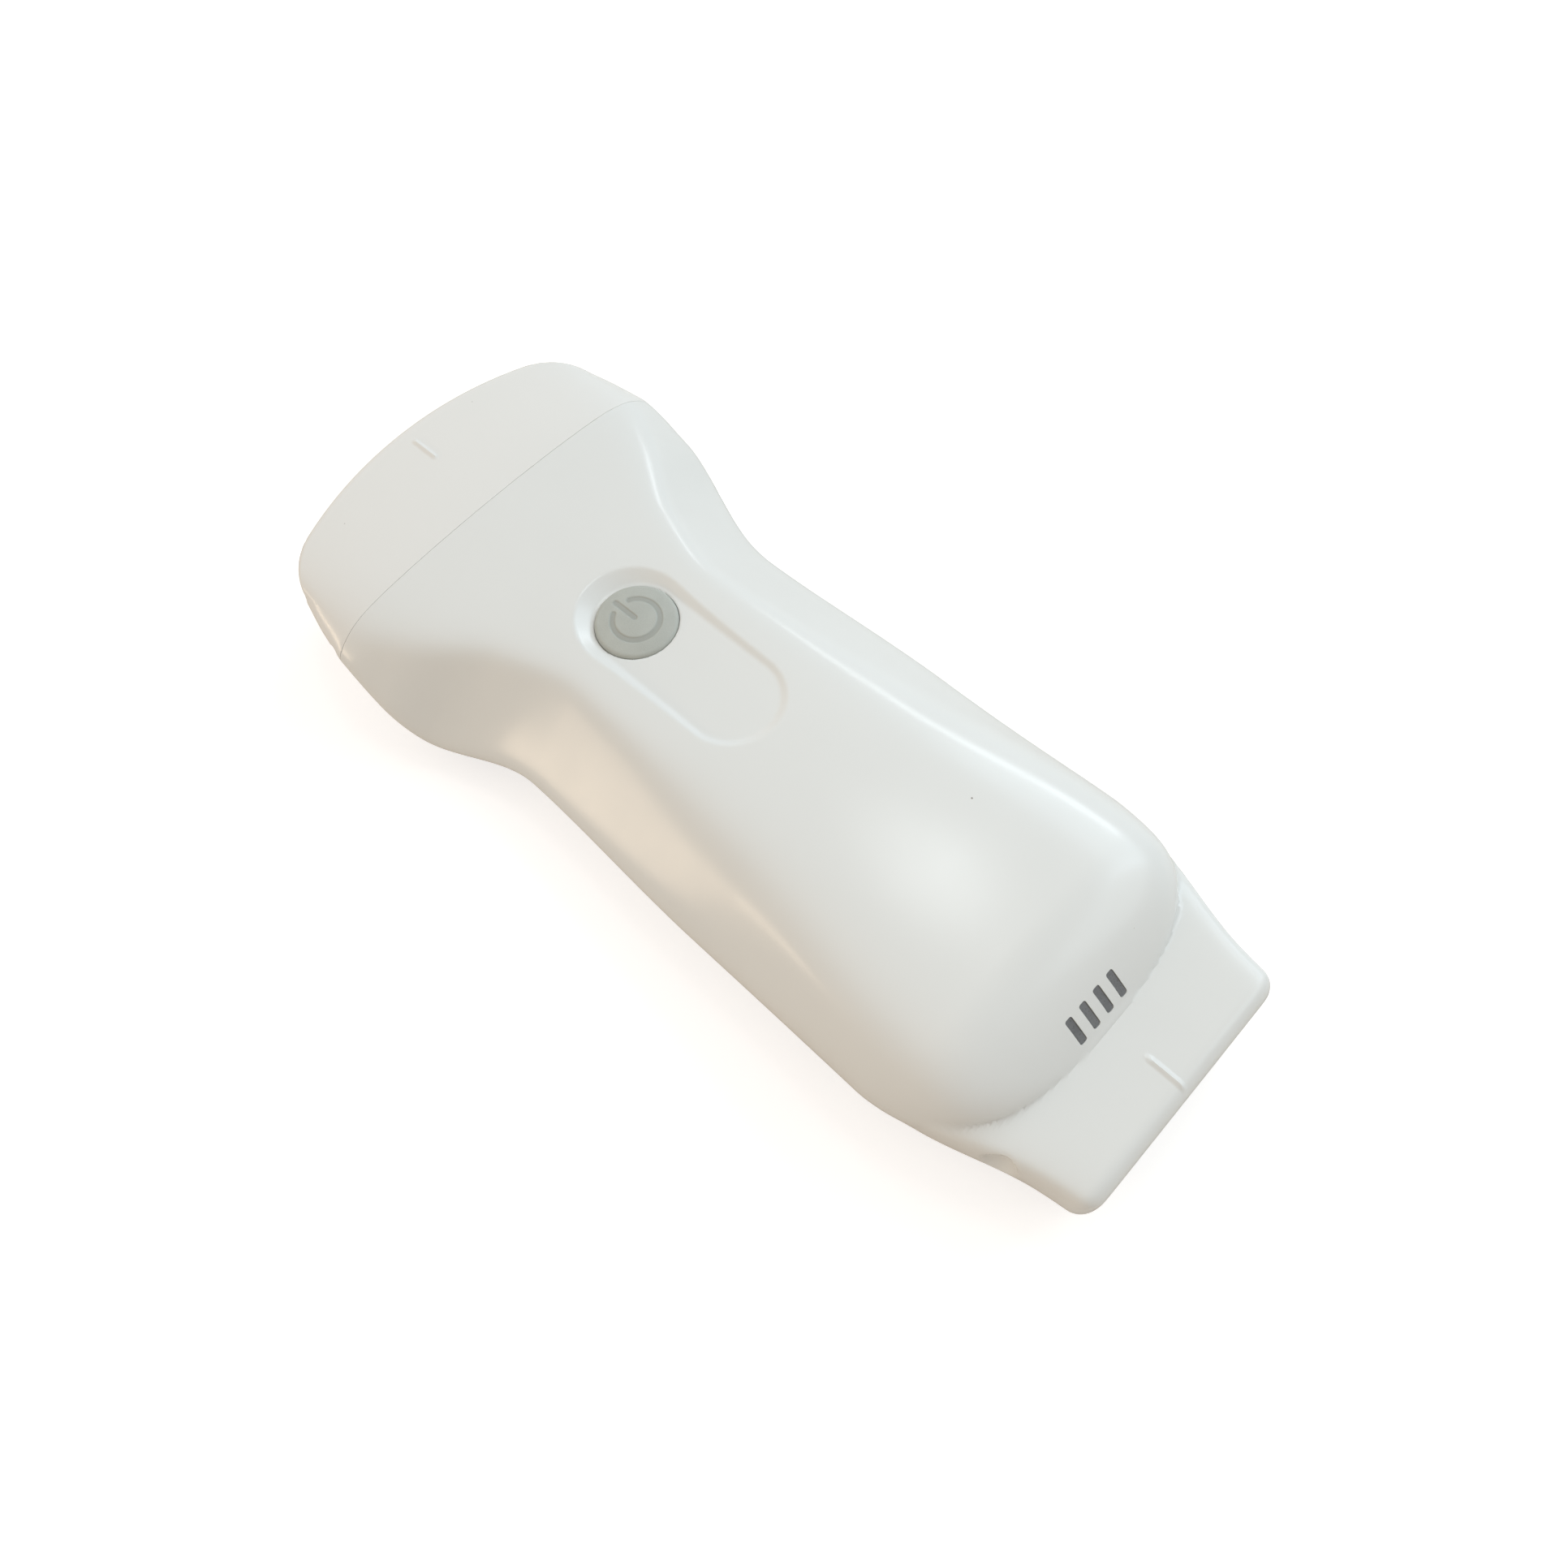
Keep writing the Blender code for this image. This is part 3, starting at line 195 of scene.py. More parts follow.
def along(table, u):
    """The size at u: a cubic through the table's points that keeps between neighbours."""
    places, sizes = np.array(table, float).T
    steps = np.diff(places)
    slopes = np.diff(sizes) / steps
    before, after = slopes[:-1], slopes[1:]
    same = before * after > 0
    tangents = np.empty(len(places))
    tangents[0], tangents[-1] = slopes[0], slopes[-1]
    tangents[1:-1] = np.where(same, 2 * before * after / np.where(same, before + after, 1.0), 0.0)
    u = np.clip(u, places[0], places[-1])
    i = np.clip(np.searchsorted(places, u) - 1, 0, len(steps) - 1)
    t = (u - places[i]) / steps[i]
    rise, start, end = sizes[i + 1] - sizes[i], tangents[i] * steps[i], tangents[i + 1] * steps[i]
    square, cube = 3 * rise - 2 * start - end, start + end - 2 * rise
    return sizes[i] + t * start + t * t * square + t**3 * cube


def side(c, s, y1, z1, y2, z2, inset):
    """Share of the way to a side of the section, through two points, in the direction (c, s)."""
    ny, nz = z1 - z2, y2 - y1
    size = np.hypot(ny, nz)
    ny, nz = ny / size, nz / size
    distance = np.maximum(ny * y1 + nz * (z1 - POLE) - inset, 1.0)
    return np.maximum((c * ny + s * nz) / distance, 0.0)


def rounded_section(s, shares, crown, sharpness):
    """Distance from the pole to a polygon with rounded corners and a crowned top."""
    total = sum(share**sharpness for share in shares)
    total = total + np.where(s > 0, crown ** (sharpness / 2), 0.0)
    return total ** (-1 / sharpness)


def bump_drop(u):
    """How far the body's end slope narrows each side and drops the top at u."""
    left = np.clip(1 - (u - BUMP_FOOT) / BUMP_RISE, 0.0, 1.0)
    narrowed = along(HALF_WIDTH, u) * (1 - np.cbrt(1 - left**3))
    return narrowed, (along(CROWN_Z, u) - HEAD_TOP) * left**2


def body_reach(u, c, s, inset):
    narrowed, dropped = bump_drop(u)
    top = along(CROWN_Z, u) - dropped
    sharpness = along(SHARPNESS, u)
    half = np.maximum(along(HALF_WIDTH, u) - narrowed, LEAST_HALF)
    corner = half * 2 ** (1 / sharpness)
    ridge = np.maximum(along(RIDGE_Y, u) - narrowed, LEAST_RIDGE)
    equator, bottom = along(EQUATOR_Z, u), along(BOTTOM_Z, u)
    belly = np.minimum(along(BELLY_HALF, u), half - LEAST_HALF)
    shares = [
        side(c, s, ridge, along(RIDGE_Z, u), corner, equator, inset),
        side(c, s, corner, equator, belly, bottom, inset),
        np.maximum(-s / (POLE - bottom - inset), 0.0),
    ]
    crown = (c / CROWN_SPAN) ** 2 + (s / np.maximum(top - POLE - inset, 1.0)) ** 2
    return rounded_section(s, shares, crown, sharpness)


def head_reach(u, c, s, inset):
    inset = inset + HEAD_SINK * np.clip((u - HEAD_SINK_FROM) / HEAD_SINK_SPAN, 0.0, 1.0) ** 2
    half, equator, bottom = along(HALF_WIDTH, u), along(EQUATOR_Z, u), along(BOTTOM_Z, u)
    corner = half * 2 ** (1 / HEAD_SHARP)
    shares = [
        side(c, s, half - HEAD_SIDE_LEAN, HEAD_TOP, corner, equator, inset),
        side(c, s, corner, equator, half - HEAD_BELLY_IN, bottom, inset),
        np.maximum(-s / (POLE - bottom - inset), 0.0),
    ]
    crown = (c / HEAD_SPAN) ** 2 + (s / (HEAD_TOP - POLE - inset)) ** 2
    return rounded_section(s, shares, crown, HEAD_SHARP)


def soft_max(a, b, width):
    return np.maximum(a, b) + np.maximum(0.0, width - np.abs(a - b)) ** 2 / (4 * width)


def soft_min(a, b, width):
    return -soft_max(-a, -b, width)


def reach(u, angle, inset=0.0):
    """How far the outer skin, set in by inset, lies from the pole at this angle from +Y."""
    u, angle = np.broadcast_arrays(np.asarray(u, float), np.asarray(angle, float))
    c, s = np.abs(np.cos(angle)), np.sin(angle)
    body = body_reach(np.maximum(u, BUMP_FOOT), c, s, inset)
    head = head_reach(np.minimum(u, HEAD_END), c, s, inset)
    both = soft_max(body, head, BLEND_SIDE + BLEND_TOP * np.maximum(s, 0.0))
    return np.where(u <= BUMP_FOOT, head, np.where(u > HEAD_END, body, both))


def edge_inset(distance, radius):
    """How far a rounded edge draws the skin in, at this distance from the edge."""
    left = np.clip(radius - distance, 0.0, radius)
    return radius - np.sqrt(radius * radius - left * left)


def nose_outline(y):
    """Place of the nose's front edge at y."""
    y = np.abs(y)
    sag = NOSE_RADIUS - np.sqrt(np.maximum(NOSE_RADIUS**2 - y * y, 0.0))
    share = CORNER_TURN * np.clip((y - (NOSE_HALF - CORNER_WIDE)) / CORNER_WIDE, 0.0, 1.0)
    cut = (1 - np.sqrt(1 - share**2)) / (1 - math.sqrt(1 - CORNER_TURN**2))
    return LENGTH - sag - CORNER_DROP * cut


def bent(u, y):
    """Place along the scanner at y: past the parting plane, sections bend to the nose's outline."""
    bend = np.maximum((u - PARTING) / (LENGTH - PARTING), 0.0)
    return u + bend * (nose_outline(y) - LENGTH)


def corner_angles(u):
    """Angles from the pole to the section's belly, equator and ridge corners at u."""
    narrowed, _ = bump_drop(u)
    half, equator, bottom = along(HALF_WIDTH, u), along(EQUATOR_Z, u), along(BOTTOM_Z, u)
    body = [
        (along(BELLY_HALF, u), bottom),
        (half - narrowed, equator),
        (np.maximum(along(RIDGE_Y, u) - narrowed, half / 2), along(RIDGE_Z, u)),
    ]
    head = [(half - HEAD_BELLY_IN, bottom), (half, equator), (half - HEAD_SIDE_LEAN, HEAD_TOP)]
    share = np.clip((u - BUMP_FOOT - 2) / (BUMP_RISE - 4), 0.0, 1.0)
    found = []
    for (by, bz), (hy, hz) in zip(body, head):
        found.append(np.arctan2(hz + share * (bz - hz) - POLE, hy + share * (by - hy)))
    return found


def solved(u, low, high, wanted, place):
    """The angle between low and high at which place(reach, angle) passes the wanted value."""
    low = np.broadcast_to(low, wanted.shape).copy()
    high = np.broadcast_to(high, wanted.shape).copy()
    for _ in range(32):
        middle = (low + high) / 2
        past = place(reach(u, middle), middle) > wanted
        high = np.where(past, middle, high)
        low = np.where(past, low, middle)
    return (low + high) / 2


def angle_at_height(u, z):
    return solved(u, -math.pi / 2, 0.6, z + 0 * u, lambda r, a: POLE + r * np.sin(a))


def angle_at_side(u, y):
    """The angle over the ridge at which the skin is y from the middle."""
    return solved(u, math.radians(18), math.pi / 2, -(y + 0 * u), lambda r, a: -r * np.cos(a))


def eased(count):
    """Shares from 0 to 1, close together at both ends, without the first."""
    return (1 - np.cos(np.pi * np.arange(1, count + 1) / count)) / 2


def ring_angles(u):
    """Rows of the dense skin at the stations u: one row of angles each, all the way round."""
    u = np.asarray(u, float)[:, None]
    belly, equator, ridge = corner_angles(u)
    heights = [-h for h in SEAM_ROWS[::-1]] + list(SEAM_ROWS)
    seam = np.concatenate([angle_at_height(u, SEAM_Z + h) for h in heights], axis=1)
    belly = np.minimum(belly, seam[:, :1] - ROW_GAP)
    equator = np.maximum(equator, seam[:, -1:] + ROW_GAP)
    edge = angle_at_side(u, TOP_HALF)
    ridge = np.clip(ridge, equator + RIDGE_GAP, edge - RIDGE_GAP)
    across = np.arange(TOP_HALF, -TOP_STEP / 2, -TOP_STEP)[1:]
    top = np.concatenate([angle_at_side(u, y) for y in across[:-1]], axis=1)
    middle = np.full_like(u, math.pi / 2)
    half = np.concatenate(
        [
            np.full_like(u, -math.pi / 2),
            -math.pi / 2 + (belly + math.pi / 2) * eased(BOTTOM_ROWS),
            belly + (seam[:, :1] - belly) * eased(BELLY_ROWS)[:-1],
            seam,
            seam[:, -1:] + (equator - seam[:, -1:]) * eased(LOW_SIDE_ROWS),
            equator + (ridge - equator) * eased(SIDE_ROWS),
            ridge + (edge - ridge) * eased(CROWN_ROWS),
            top,
        ],
        axis=1,
    )
    return np.concatenate([half, middle, math.pi - half[:, :0:-1]], axis=1)


def recess_floor(u):
    """Height of the recess's floor, which rises slightly to the skin towards its rear."""
    rear = BUTTON_U - RECESS_LENGTH + 2 * RECESS_HALF
    front_z = POLE + reach(BUTTON_U, math.pi / 2) - RECESS_DEPTH
    rear_z = POLE + reach(rear, math.pi / 2) - RECESS_REAR_DEPTH
    return front_z + (rear_z - front_z) * (BUTTON_U - u) / (BUTTON_U - rear)


def with_recess(u, y, z):
    """The skin's height with the pill-shaped recess and the rounding at the button's hole."""
    rear = BUTTON_U - RECESS_LENGTH + 2 * RECESS_HALF
    outside = np.hypot(u - np.clip(u, rear, BUTTON_U), y) - RECESS_HALF
    floor = recess_floor(u)
    wall = floor + RECESS_DEPTH * (outside + RECESS_BEVEL) / RECESS_BEVEL
    sunk = soft_min(z, soft_max(wall, floor, RECESS_ROUND), RECESS_ROUND)
    near = (outside < 2 * RECESS_BEVEL) & (z > POLE)
    rim = edge_inset(np.hypot(u - BUTTON_U, y) - CAP_RADIUS - BUTTON_FIT, HOLE_ROUND)
    return np.where(near, sunk - rim, z)


def dimple_depth(u, y, z, dimple):
    """How far an oval dimple in the +Y side draws the skin in."""
    place, height, half_long, half_tall, depth = dimple
    inside = 1 - ((u - place) / half_long) ** 2 - ((z - height) / half_tall) ** 2
    return np.where(y > 0, depth * soft_max(inside, 0.0, DIMPLE_ROUND), 0.0)


def rib_height(u, y, place):
    """Height of a fine raised line along the middle."""
    nearest = np.clip(u, place - RIB_LONG / 2, place + RIB_LONG / 2)
    outside = np.hypot(u - nearest, y) - RIB_WIDE / 2
    return RIB_PROUD * np.clip(0.5 - outside / RIB_FADE, 0.0, 1.0) ** RIB_SHAPE


def skin(stations):
    """Points of the dense outer skin: (station, row, xyz), in millimetres."""
    u = np.asarray(stations, float)[:, None]
    angle = ring_angles(stations)
    rounding = edge_inset(u, TIP_EDGE) + edge_inset(LENGTH - u, NOSE_EDGE)
    rounding = rounding + edge_inset(np.abs(u - PARTING) - SEEN_GAP / 2, LIP_ROUND)
    r = reach(u, angle, rounding)
    seam = np.abs(POLE + r * np.sin(angle) - SEAM_Z) - SEEN_GAP / 2
    r = r - np.where(u < PARTING, edge_inset(seam, LIP_ROUND), 0.0)
    y, z = r * np.cos(angle), POLE + r * np.sin(angle)
    r = r - dimple_depth(u, y, z, TIP_DIMPLE) - dimple_depth(u, y, z, NOSE_DIMPLE)
    y, z = r * np.cos(angle), POLE + r * np.sin(angle)
    flat = along(BOTTOM_Z, u)
    z = np.where(z < flat + FLAT_WITHIN, flat, z)
    z = with_recess(u, y, z)
    above = z > POLE
    z = z + np.where(above, rib_height(u, y, TIP_RIB_U) + rib_height(u, y, NOSE_RIB_U), 0.0)
    return np.stack([bent(u, y) - LENGTH / 2, y, z], axis=2)


def inner_ring(u, inset, count=64):
    """One ring of the skin with evenly spaced angles, set in by inset."""
    angle = np.linspace(0, 2 * math.pi, count, endpoint=False)
    r = reach(u, angle, inset)
    y, z = r * np.cos(angle), POLE + r * np.sin(angle)
    return np.stack([bent(u, y) - LENGTH / 2, y, z], axis=1)


def flat_ring(points, u):
    """The ring moved into the plane at u."""
    moved = points.copy()
    moved[:, 0] = u - LENGTH / 2
    return moved


def loft(name, rings):
    """A closed mesh through rings of points, in millimetres, with its ends filled."""
    rings = np.asarray(rings)
    rows, count = rings.shape[:2]
    index = np.arange(rows * count).reshape(rows, count)
    after = np.roll(index, -1, axis=1)
    quads = np.stack([index[:-1], after[:-1], after[1:], index[1:]], axis=2).reshape(-1, 4)
    faces = quads.tolist() + [index[0][::-1].tolist(), index[-1].tolist()]
    data = bpy.data.meshes.new(name)
    data.from_pydata((rings.reshape(-1, 3) * MM).tolist(), [], faces)
    if signed_volume(data) < 0:
        data.flip_normals()
    return data


def signed_volume(data):
    data.calc_loop_triangles()
    count = len(data.loop_triangles)
    corners, points = np.empty(count * 3, int), np.empty(len(data.vertices) * 3)
    data.loop_triangles.foreach_get("vertices", corners)
    data.vertices.foreach_get("co", points)
    a, b, c = points.reshape(-1, 3)[corners.reshape(-1, 3)].transpose(1, 0, 2)
    return np.einsum("ij,ij->i", a, np.cross(b, c)).sum()


def new_object(name, data):
    obj = bpy.data.objects.new(name, data)
    bpy.context.scene.collection.objects.link(obj)
    return obj


def carved(data, cutters):
    """The mesh with the cutters taken away or added, as (operation, mesh) pairs."""
    obj = new_object("work", data)
    helpers = []
    for operation, cutter in cutters:
        helper = new_object("helper", cutter)
        helpers.append(helper)
        modifier = obj.modifiers.new("carve", "BOOLEAN")
        modifier.operation, modifier.object, modifier.solver = operation, helper, "MANIFOLD"
    graph = bpy.context.evaluated_depsgraph_get()
    result = bpy.data.meshes.new_from_object(obj.evaluated_get(graph))
    for helper in helpers + [obj]:
        bpy.data.objects.remove(helper, do_unlink=True)
    return result


def box_mesh(centre, size, turn=Matrix.Identity(3), bevel=0.0):
    """A box, with the edges along its third side rounded by bevel, as a mesh in millimetres."""
    long, wide, tall = (length / 2 for length in size)
    outline = []
    corners = ((long, wide, 0), (-long, wide, 90), (-long, -wide, 180), (long, -wide, 270))
    for cx, cy, start in corners:
        if not bevel:
            outline.append((cx, cy))
            continue
        for step in range(5):
            a = math.radians(start + 22.5 * step)
            outline.append((cx - math.copysign(bevel, cx) + bevel * math.cos(a),
                            cy - math.copysign(bevel, cy) + bevel * math.sin(a)))
    rings = []
    for z in (-tall, tall):
        rings.append([tuple(turn @ Vector((x, y, z)) + Vector(centre)) for x, y in outline])
    return loft("box", rings)


def cylinder_mesh(x, y, low, high, radius, sides=96):
    angle = np.linspace(0, 2 * math.pi, sides, endpoint=False)
    circle = x + radius * np.cos(angle), y + radius * np.sin(angle)
    return loft("cylinder", [np.stack([*circle, 0 * angle + z], 1) for z in (low, high)])


def light_y(i):
    return LIGHT_PITCH * (i - (LIGHT_COUNT - 1) / 2)


def slope_point(depth):
    """(u, z) of the point this deep under the middle of the lights, along the slope's normal."""
    z = POLE + float(reach(LIGHT_U, math.pi / 2))
    return LIGHT_U + depth * math.sin(LIGHT_TILT), z - depth * math.cos(LIGHT_TILT)


def slab(low, high):
    """A box over the whole part between two heights."""
    return box_mesh((0, 0, (low + high) / 2), (LENGTH + 20, 2 * SHOULDER_HALF + 20, high - low))


def body_stations():
    """Housing: closer at the tip's edge, bump and recess, closest at the parting line."""
    return np.concatenate(
        [
            TIP_EDGE * (1 - np.cos(np.linspace(0, math.pi / 2, 12))),
            np.arange(TIP_EDGE + 0.4, 8.0, 0.5),
            np.arange(8.0, 28.0, 0.3),
            np.arange(28.0, 66.0, 0.9),
            np.arange(66.5, 107.0, 0.23),
            np.arange(107.0, PARTING - 1.0, 0.7),
            PARTING - SEEN_GAP / 2 - np.array(LIP_STATIONS[::-1]),
        ]
    )


def housing_form():
    """The outer form, hollow, with the linear lens's opening, for both halves of the housing."""
    outer = loft("housing", skin(body_stations()))
    inner_u = [TIP_WALL, BUMP_FOOT, BUMP_FOOT + 5, 22, 34, 46, 58, 70, 82, WAIST, WAIST + 9]
    inner_u += [SHOULDER - 9, SHOULDER, PARTING - SPIGOT_LENGTH, PARTING]
    cavity = [inner_ring(u, WALL) for u in inner_u]
    cavity.append(flat_ring(cavity[-1], PARTING + 1))
    opening = inner_ring(0.0, TIP_OPENING, LENS_POINTS)
    opening = [flat_ring(opening, u) for u in (-1.0, TIP_WALL + 1)]
    return outer, loft("cavity", cavity), loft("opening", opening)


def seal_step():
    """The step around the housing's open end that the seal lies in."""
    rings = [inner_ring(u, SEAL_OUT - GAP) for u in (PARTING - SEAL_DEPTH - 2 * GAP, PARTING + 1)]
    return loft("seal_step", rings)


def housing_shell():
    outer, cavity, opening = housing_form()
    below = slab(OUTSIDE[0], SEAM_Z + SEEN_GAP / 2)
    cuts = [("DIFFERENCE", cutter) for cutter in (cavity, opening, below)]
    floor = float(recess_floor(BUTTON_U))
    low, high = floor - HOLE_REACH, floor + HOLE_REACH
    hole = cylinder_mesh(BUTTON_U - LENGTH / 2, 0, low, high, CAP_RADIUS + BUTTON_FIT)
    cuts.append(("DIFFERENCE", hole))
    turn = Matrix.Rotation(-LIGHT_TILT, 3, "Y")
    u, z = slope_point(0.0)
    for i in range(LIGHT_COUNT):
        size = (LIGHT_LONG, LIGHT_WIDE, SLOT_REACH)
        slot = box_mesh((u - LENGTH / 2, light_y(i), z), size, turn, SLOT_CORNER)
        cuts.append(("DIFFERENCE", slot))
    cuts.append(("DIFFERENCE", seal_step()))
    return carved(outer, cuts)


def cover_shell():
    outer, cavity, opening = housing_form()
    above = slab(SEAM_Z - SEEN_GAP / 2, OUTSIDE[1])
    cutters = (cavity, opening, above, seal_step())
    return carved(outer, [("DIFFERENCE", cutter) for cutter in cutters])


def nose_stations():
    """Nose: closer at the parting line and round the front edge."""
    return np.concatenate(
        [
            PARTING + SEEN_GAP / 2 + np.array(LIP_STATIONS),
            np.arange(PARTING + 1.2, LENGTH - NOSE_EDGE - 0.2, 0.3),
            LENGTH - NOSE_EDGE * (1 - np.cos(np.linspace(math.pi / 2, 0, 16))),
        ]
    )


# How far the rings of a closed face are drawn in towards its middle
FACE_SHARES = (0.98, 0.95, 0.9, 0.85, 0.8, 0.7, 0.6, 0.5, 0.4, 0.3, 0.2)
BACK_SHARES = (0.95, 0.8, 0.5, 0.2)
LENS_SHARES = (0.995, 0.985, 0.97, 0.95, 0.92, 0.88, 0.82, 0.74, 0.64, 0.52, 0.4, 0.28, 0.16, 0.05)
LENS_BACK_SHARES = (0.05, 0.4, 0.8, 1.0)
LINEAR_PROUD = 0.12  # the tip's lens lies almost flush, as no edge of it shows from above


def domed(share):
    """Height of a flat-topped dome, as a share, at this share of the way out."""
    return math.sqrt(1 - share**4)


def arc_face(outline, u, middle_z, shares, rise=0.0):
    """The outline drawn in towards its middle on the nose's arc at u, domed outwards by rise."""
    rings = []
    for share in shares:
        y = outline[:, 1] * share
        x = bent(u, y) - LENGTH / 2 + rise * domed(share)
        rings.append(np.stack([x, y, middle_z + (outline[:, 2] - middle_z) * share], 1))
    return rings


def nose_shell():
    outer = list(skin(nose_stations()))
    outer += arc_face(outer[-1], LENGTH, CONVEX_Z, FACE_SHARES)
    back = LENGTH - NOSE_FACE_WALL
    inside = [inner_ring(u, NOSE_WALL) for u in (PARTING, PARTING + 8, back)]
    inside = [flat_ring(inside[0], PARTING - 1)] + inside
    inside += arc_face(inside[-1], back, CONVEX_Z, BACK_SHARES)
    opening = inner_ring(LENGTH, NOSE_OPENING, LENS_POINTS)
    opening = [flat_ring(opening, u) for u in (LENGTH - 15, LENGTH + 2)]
    spigot_u = (PARTING - SPIGOT_LENGTH, PARTING - 1, PARTING + 1, PARTING + 3)
    spigot = loft("spigot", [inner_ring(u, WALL + GAP) for u in spigot_u])
    bore = [inner_ring(u, SPIGOT_IN) for u in spigot_u]
    bore = [flat_ring(bore[0], PARTING - SPIGOT_LENGTH - 1)] + bore
    return carved(
        loft("nose", outer),
        [
            ("DIFFERENCE", loft("inside", inside)),
            ("DIFFERENCE", loft("opening", opening)),
            ("UNION", spigot),
            ("DIFFERENCE", loft("bore", bore)),
        ],
    )


def convex_window():
    outline = inner_ring(LENGTH, NOSE_OPENING + LENS_FIT, LENS_POINTS)
    back = arc_face(outline, LENGTH, CONVEX_Z, LENS_BACK_SHARES)
    rings = [ring - np.array([LENS_DEPTH, 0, 0]) for ring in back]
    rings += arc_face(outline, LENGTH, CONVEX_Z, (1.0,))
    rings += arc_face(outline, LENGTH, CONVEX_Z, LENS_SHARES, LENS_PROUD)
    return loft("convex_window", rings)


def linear_window():
    outline = inner_ring(0.0, TIP_OPENING + LENS_FIT, LENS_POINTS)
    rings = [flat_ring(outline, LENS_DEPTH), flat_ring(outline, 0.0)]
    for share in LENS_SHARES:
        x = np.full(len(outline), -LENGTH / 2 - LINEAR_PROUD * domed(share))
        z = LINEAR_Z + (outline[:, 2] - LINEAR_Z) * share
        rings.append(np.stack([x, outline[:, 1] * share, z], 1))
    return loft("linear_window", rings)


# The power symbol on the button: a ring open towards the nose, with a bar through the opening
SYMBOL_RADIUS, SYMBOL_STROKE = 3.45, 0.84
SYMBOL_GAP = math.radians(27)
BAR_FROM, BAR_TO = 0.3, 4.25
SYMBOL_DEPTH, SYMBOL_FADE = 0.12, 0.16
CAP_CORNER = 0.7
CAP_LIFT = 0.05
CAP_RINGS, CAP_POINTS = 62, 224
CORNER_STEP, CORNER_STEPS = 15, 6  # of the cap's corner, in degrees
FLANGE_CORNER = 0.2


def symbol_mark(x, y):
    """1 inside the power symbol's strokes and 0 outside, with a narrow soft edge."""
    angle = np.abs(np.arctan2(y, x))
    radius = np.hypot(x, y)
    end_x, end_y = SYMBOL_RADIUS * math.cos(SYMBOL_GAP), SYMBOL_RADIUS * math.sin(SYMBOL_GAP)
    to_end = np.hypot(x - end_x, np.abs(y) - end_y)
    arc = np.where(angle > SYMBOL_GAP, np.abs(radius - SYMBOL_RADIUS), to_end)
    bar = np.hypot(x - np.clip(x, BAR_FROM, BAR_TO), y)
    outside = np.minimum(arc, bar) - SYMBOL_STROKE / 2
    return np.clip(0.5 - outside / SYMBOL_FADE, 0.0, 1.0)


def button_profile(edge, flange_top):
    """(radius, height) of the button's rings, from the middle of its top to its underside's."""
    flat = CAP_RADIUS - CAP_CORNER
    radii = np.linspace(0.05, flat, CAP_RINGS)
    profile = [(r, edge + BUTTON_DOME * (1 - (r / flat) ** 2) + CAP_LIFT) for r in radii]
    for step in range(1, CORNER_STEPS + 1):
        a = math.radians(CORNER_STEP * step)
        height = edge + CAP_LIFT - CAP_CORNER * (1 - math.cos(a))
        profile.append((flat + CAP_CORNER * math.sin(a), height))
    return profile + [
        (CAP_RADIUS, flange_top + 0.3),
        (CAP_RADIUS + 0.1, flange_top),
        (BUTTON_RADIUS + BUTTON_FLANGE - FLANGE_CORNER, flange_top),
        (BUTTON_RADIUS + BUTTON_FLANGE, flange_top - FLANGE_CORNER),
        (BUTTON_RADIUS + BUTTON_FLANGE, flange_top - FLANGE_THICK),
        (0.5, flange_top - FLANGE_THICK),
    ]


def button_mesh():
    """The button with its engraved symbol, whose strokes are kept in the attribute "mark"."""
    floor = float(recess_floor(BUTTON_U))
    roof_angle = angle_at_side(np.array([BUTTON_U]), BUTTON_RADIUS + BUTTON_FLANGE)
    roof = POLE + float((reach(BUTTON_U, roof_angle) * np.sin(roof_angle))[0]) - WALL
    edge = floor + BUTTON_RISE
    angle = np.linspace(0, 2 * math.pi, CAP_POINTS, endpoint=False)
    rings, marks = [], []
    for r, z in button_profile(edge, roof - GAP):
        x, y = r * np.cos(angle), r * np.sin(angle)
        mark = symbol_mark(x, y) if z > edge - CAP_CORNER / 2 else 0 * x
        rings.append(np.stack([BUTTON_U - LENGTH / 2 + x, y, z - SYMBOL_DEPTH * mark], 1))
        marks.append(mark)
    data = loft("button", rings)
    layer = data.attributes.new("mark", "FLOAT", "POINT")
    layer.data.foreach_set("value", np.concatenate(marks))
    return data


BAR_THICK, BAR_MARGIN, BAR_CORNER, BAR_CLEAR = 1.0, 1.0, 0.2, 0.2
PRONG_LOW, PRONG_FIT, PRONG_CORNER = 0.15, 0.16, 0.3  # the prongs end this far under the slope


def light_bar():
    """The smoked bar under the slots, with a prong with rounded edges in each."""
    turn = Matrix.Rotation(-LIGHT_TILT, 3, "Y")
    depth = WALL + GAP + BAR_CLEAR
    u, z = slope_point(depth + BAR_THICK / 2)
    width = LIGHT_PITCH * (LIGHT_COUNT - 1) + LIGHT_WIDE + BAR_MARGIN
    bar = box_mesh((u - LENGTH / 2, 0, z), (LIGHT_LONG, width, BAR_THICK), turn, BAR_CORNER)
    prong = depth + BAR_THICK / 2 - PRONG_LOW
    u, z = slope_point(PRONG_LOW + prong / 2)
    size = (LIGHT_LONG - PRONG_FIT, LIGHT_WIDE - PRONG_FIT, prong)
    unions = []
    for i in range(LIGHT_COUNT):
        block = box_mesh((u - LENGTH / 2, light_y(i), z), size, turn, PRONG_CORNER)
        unions.append(("UNION", block))
    return carved(bar, unions)


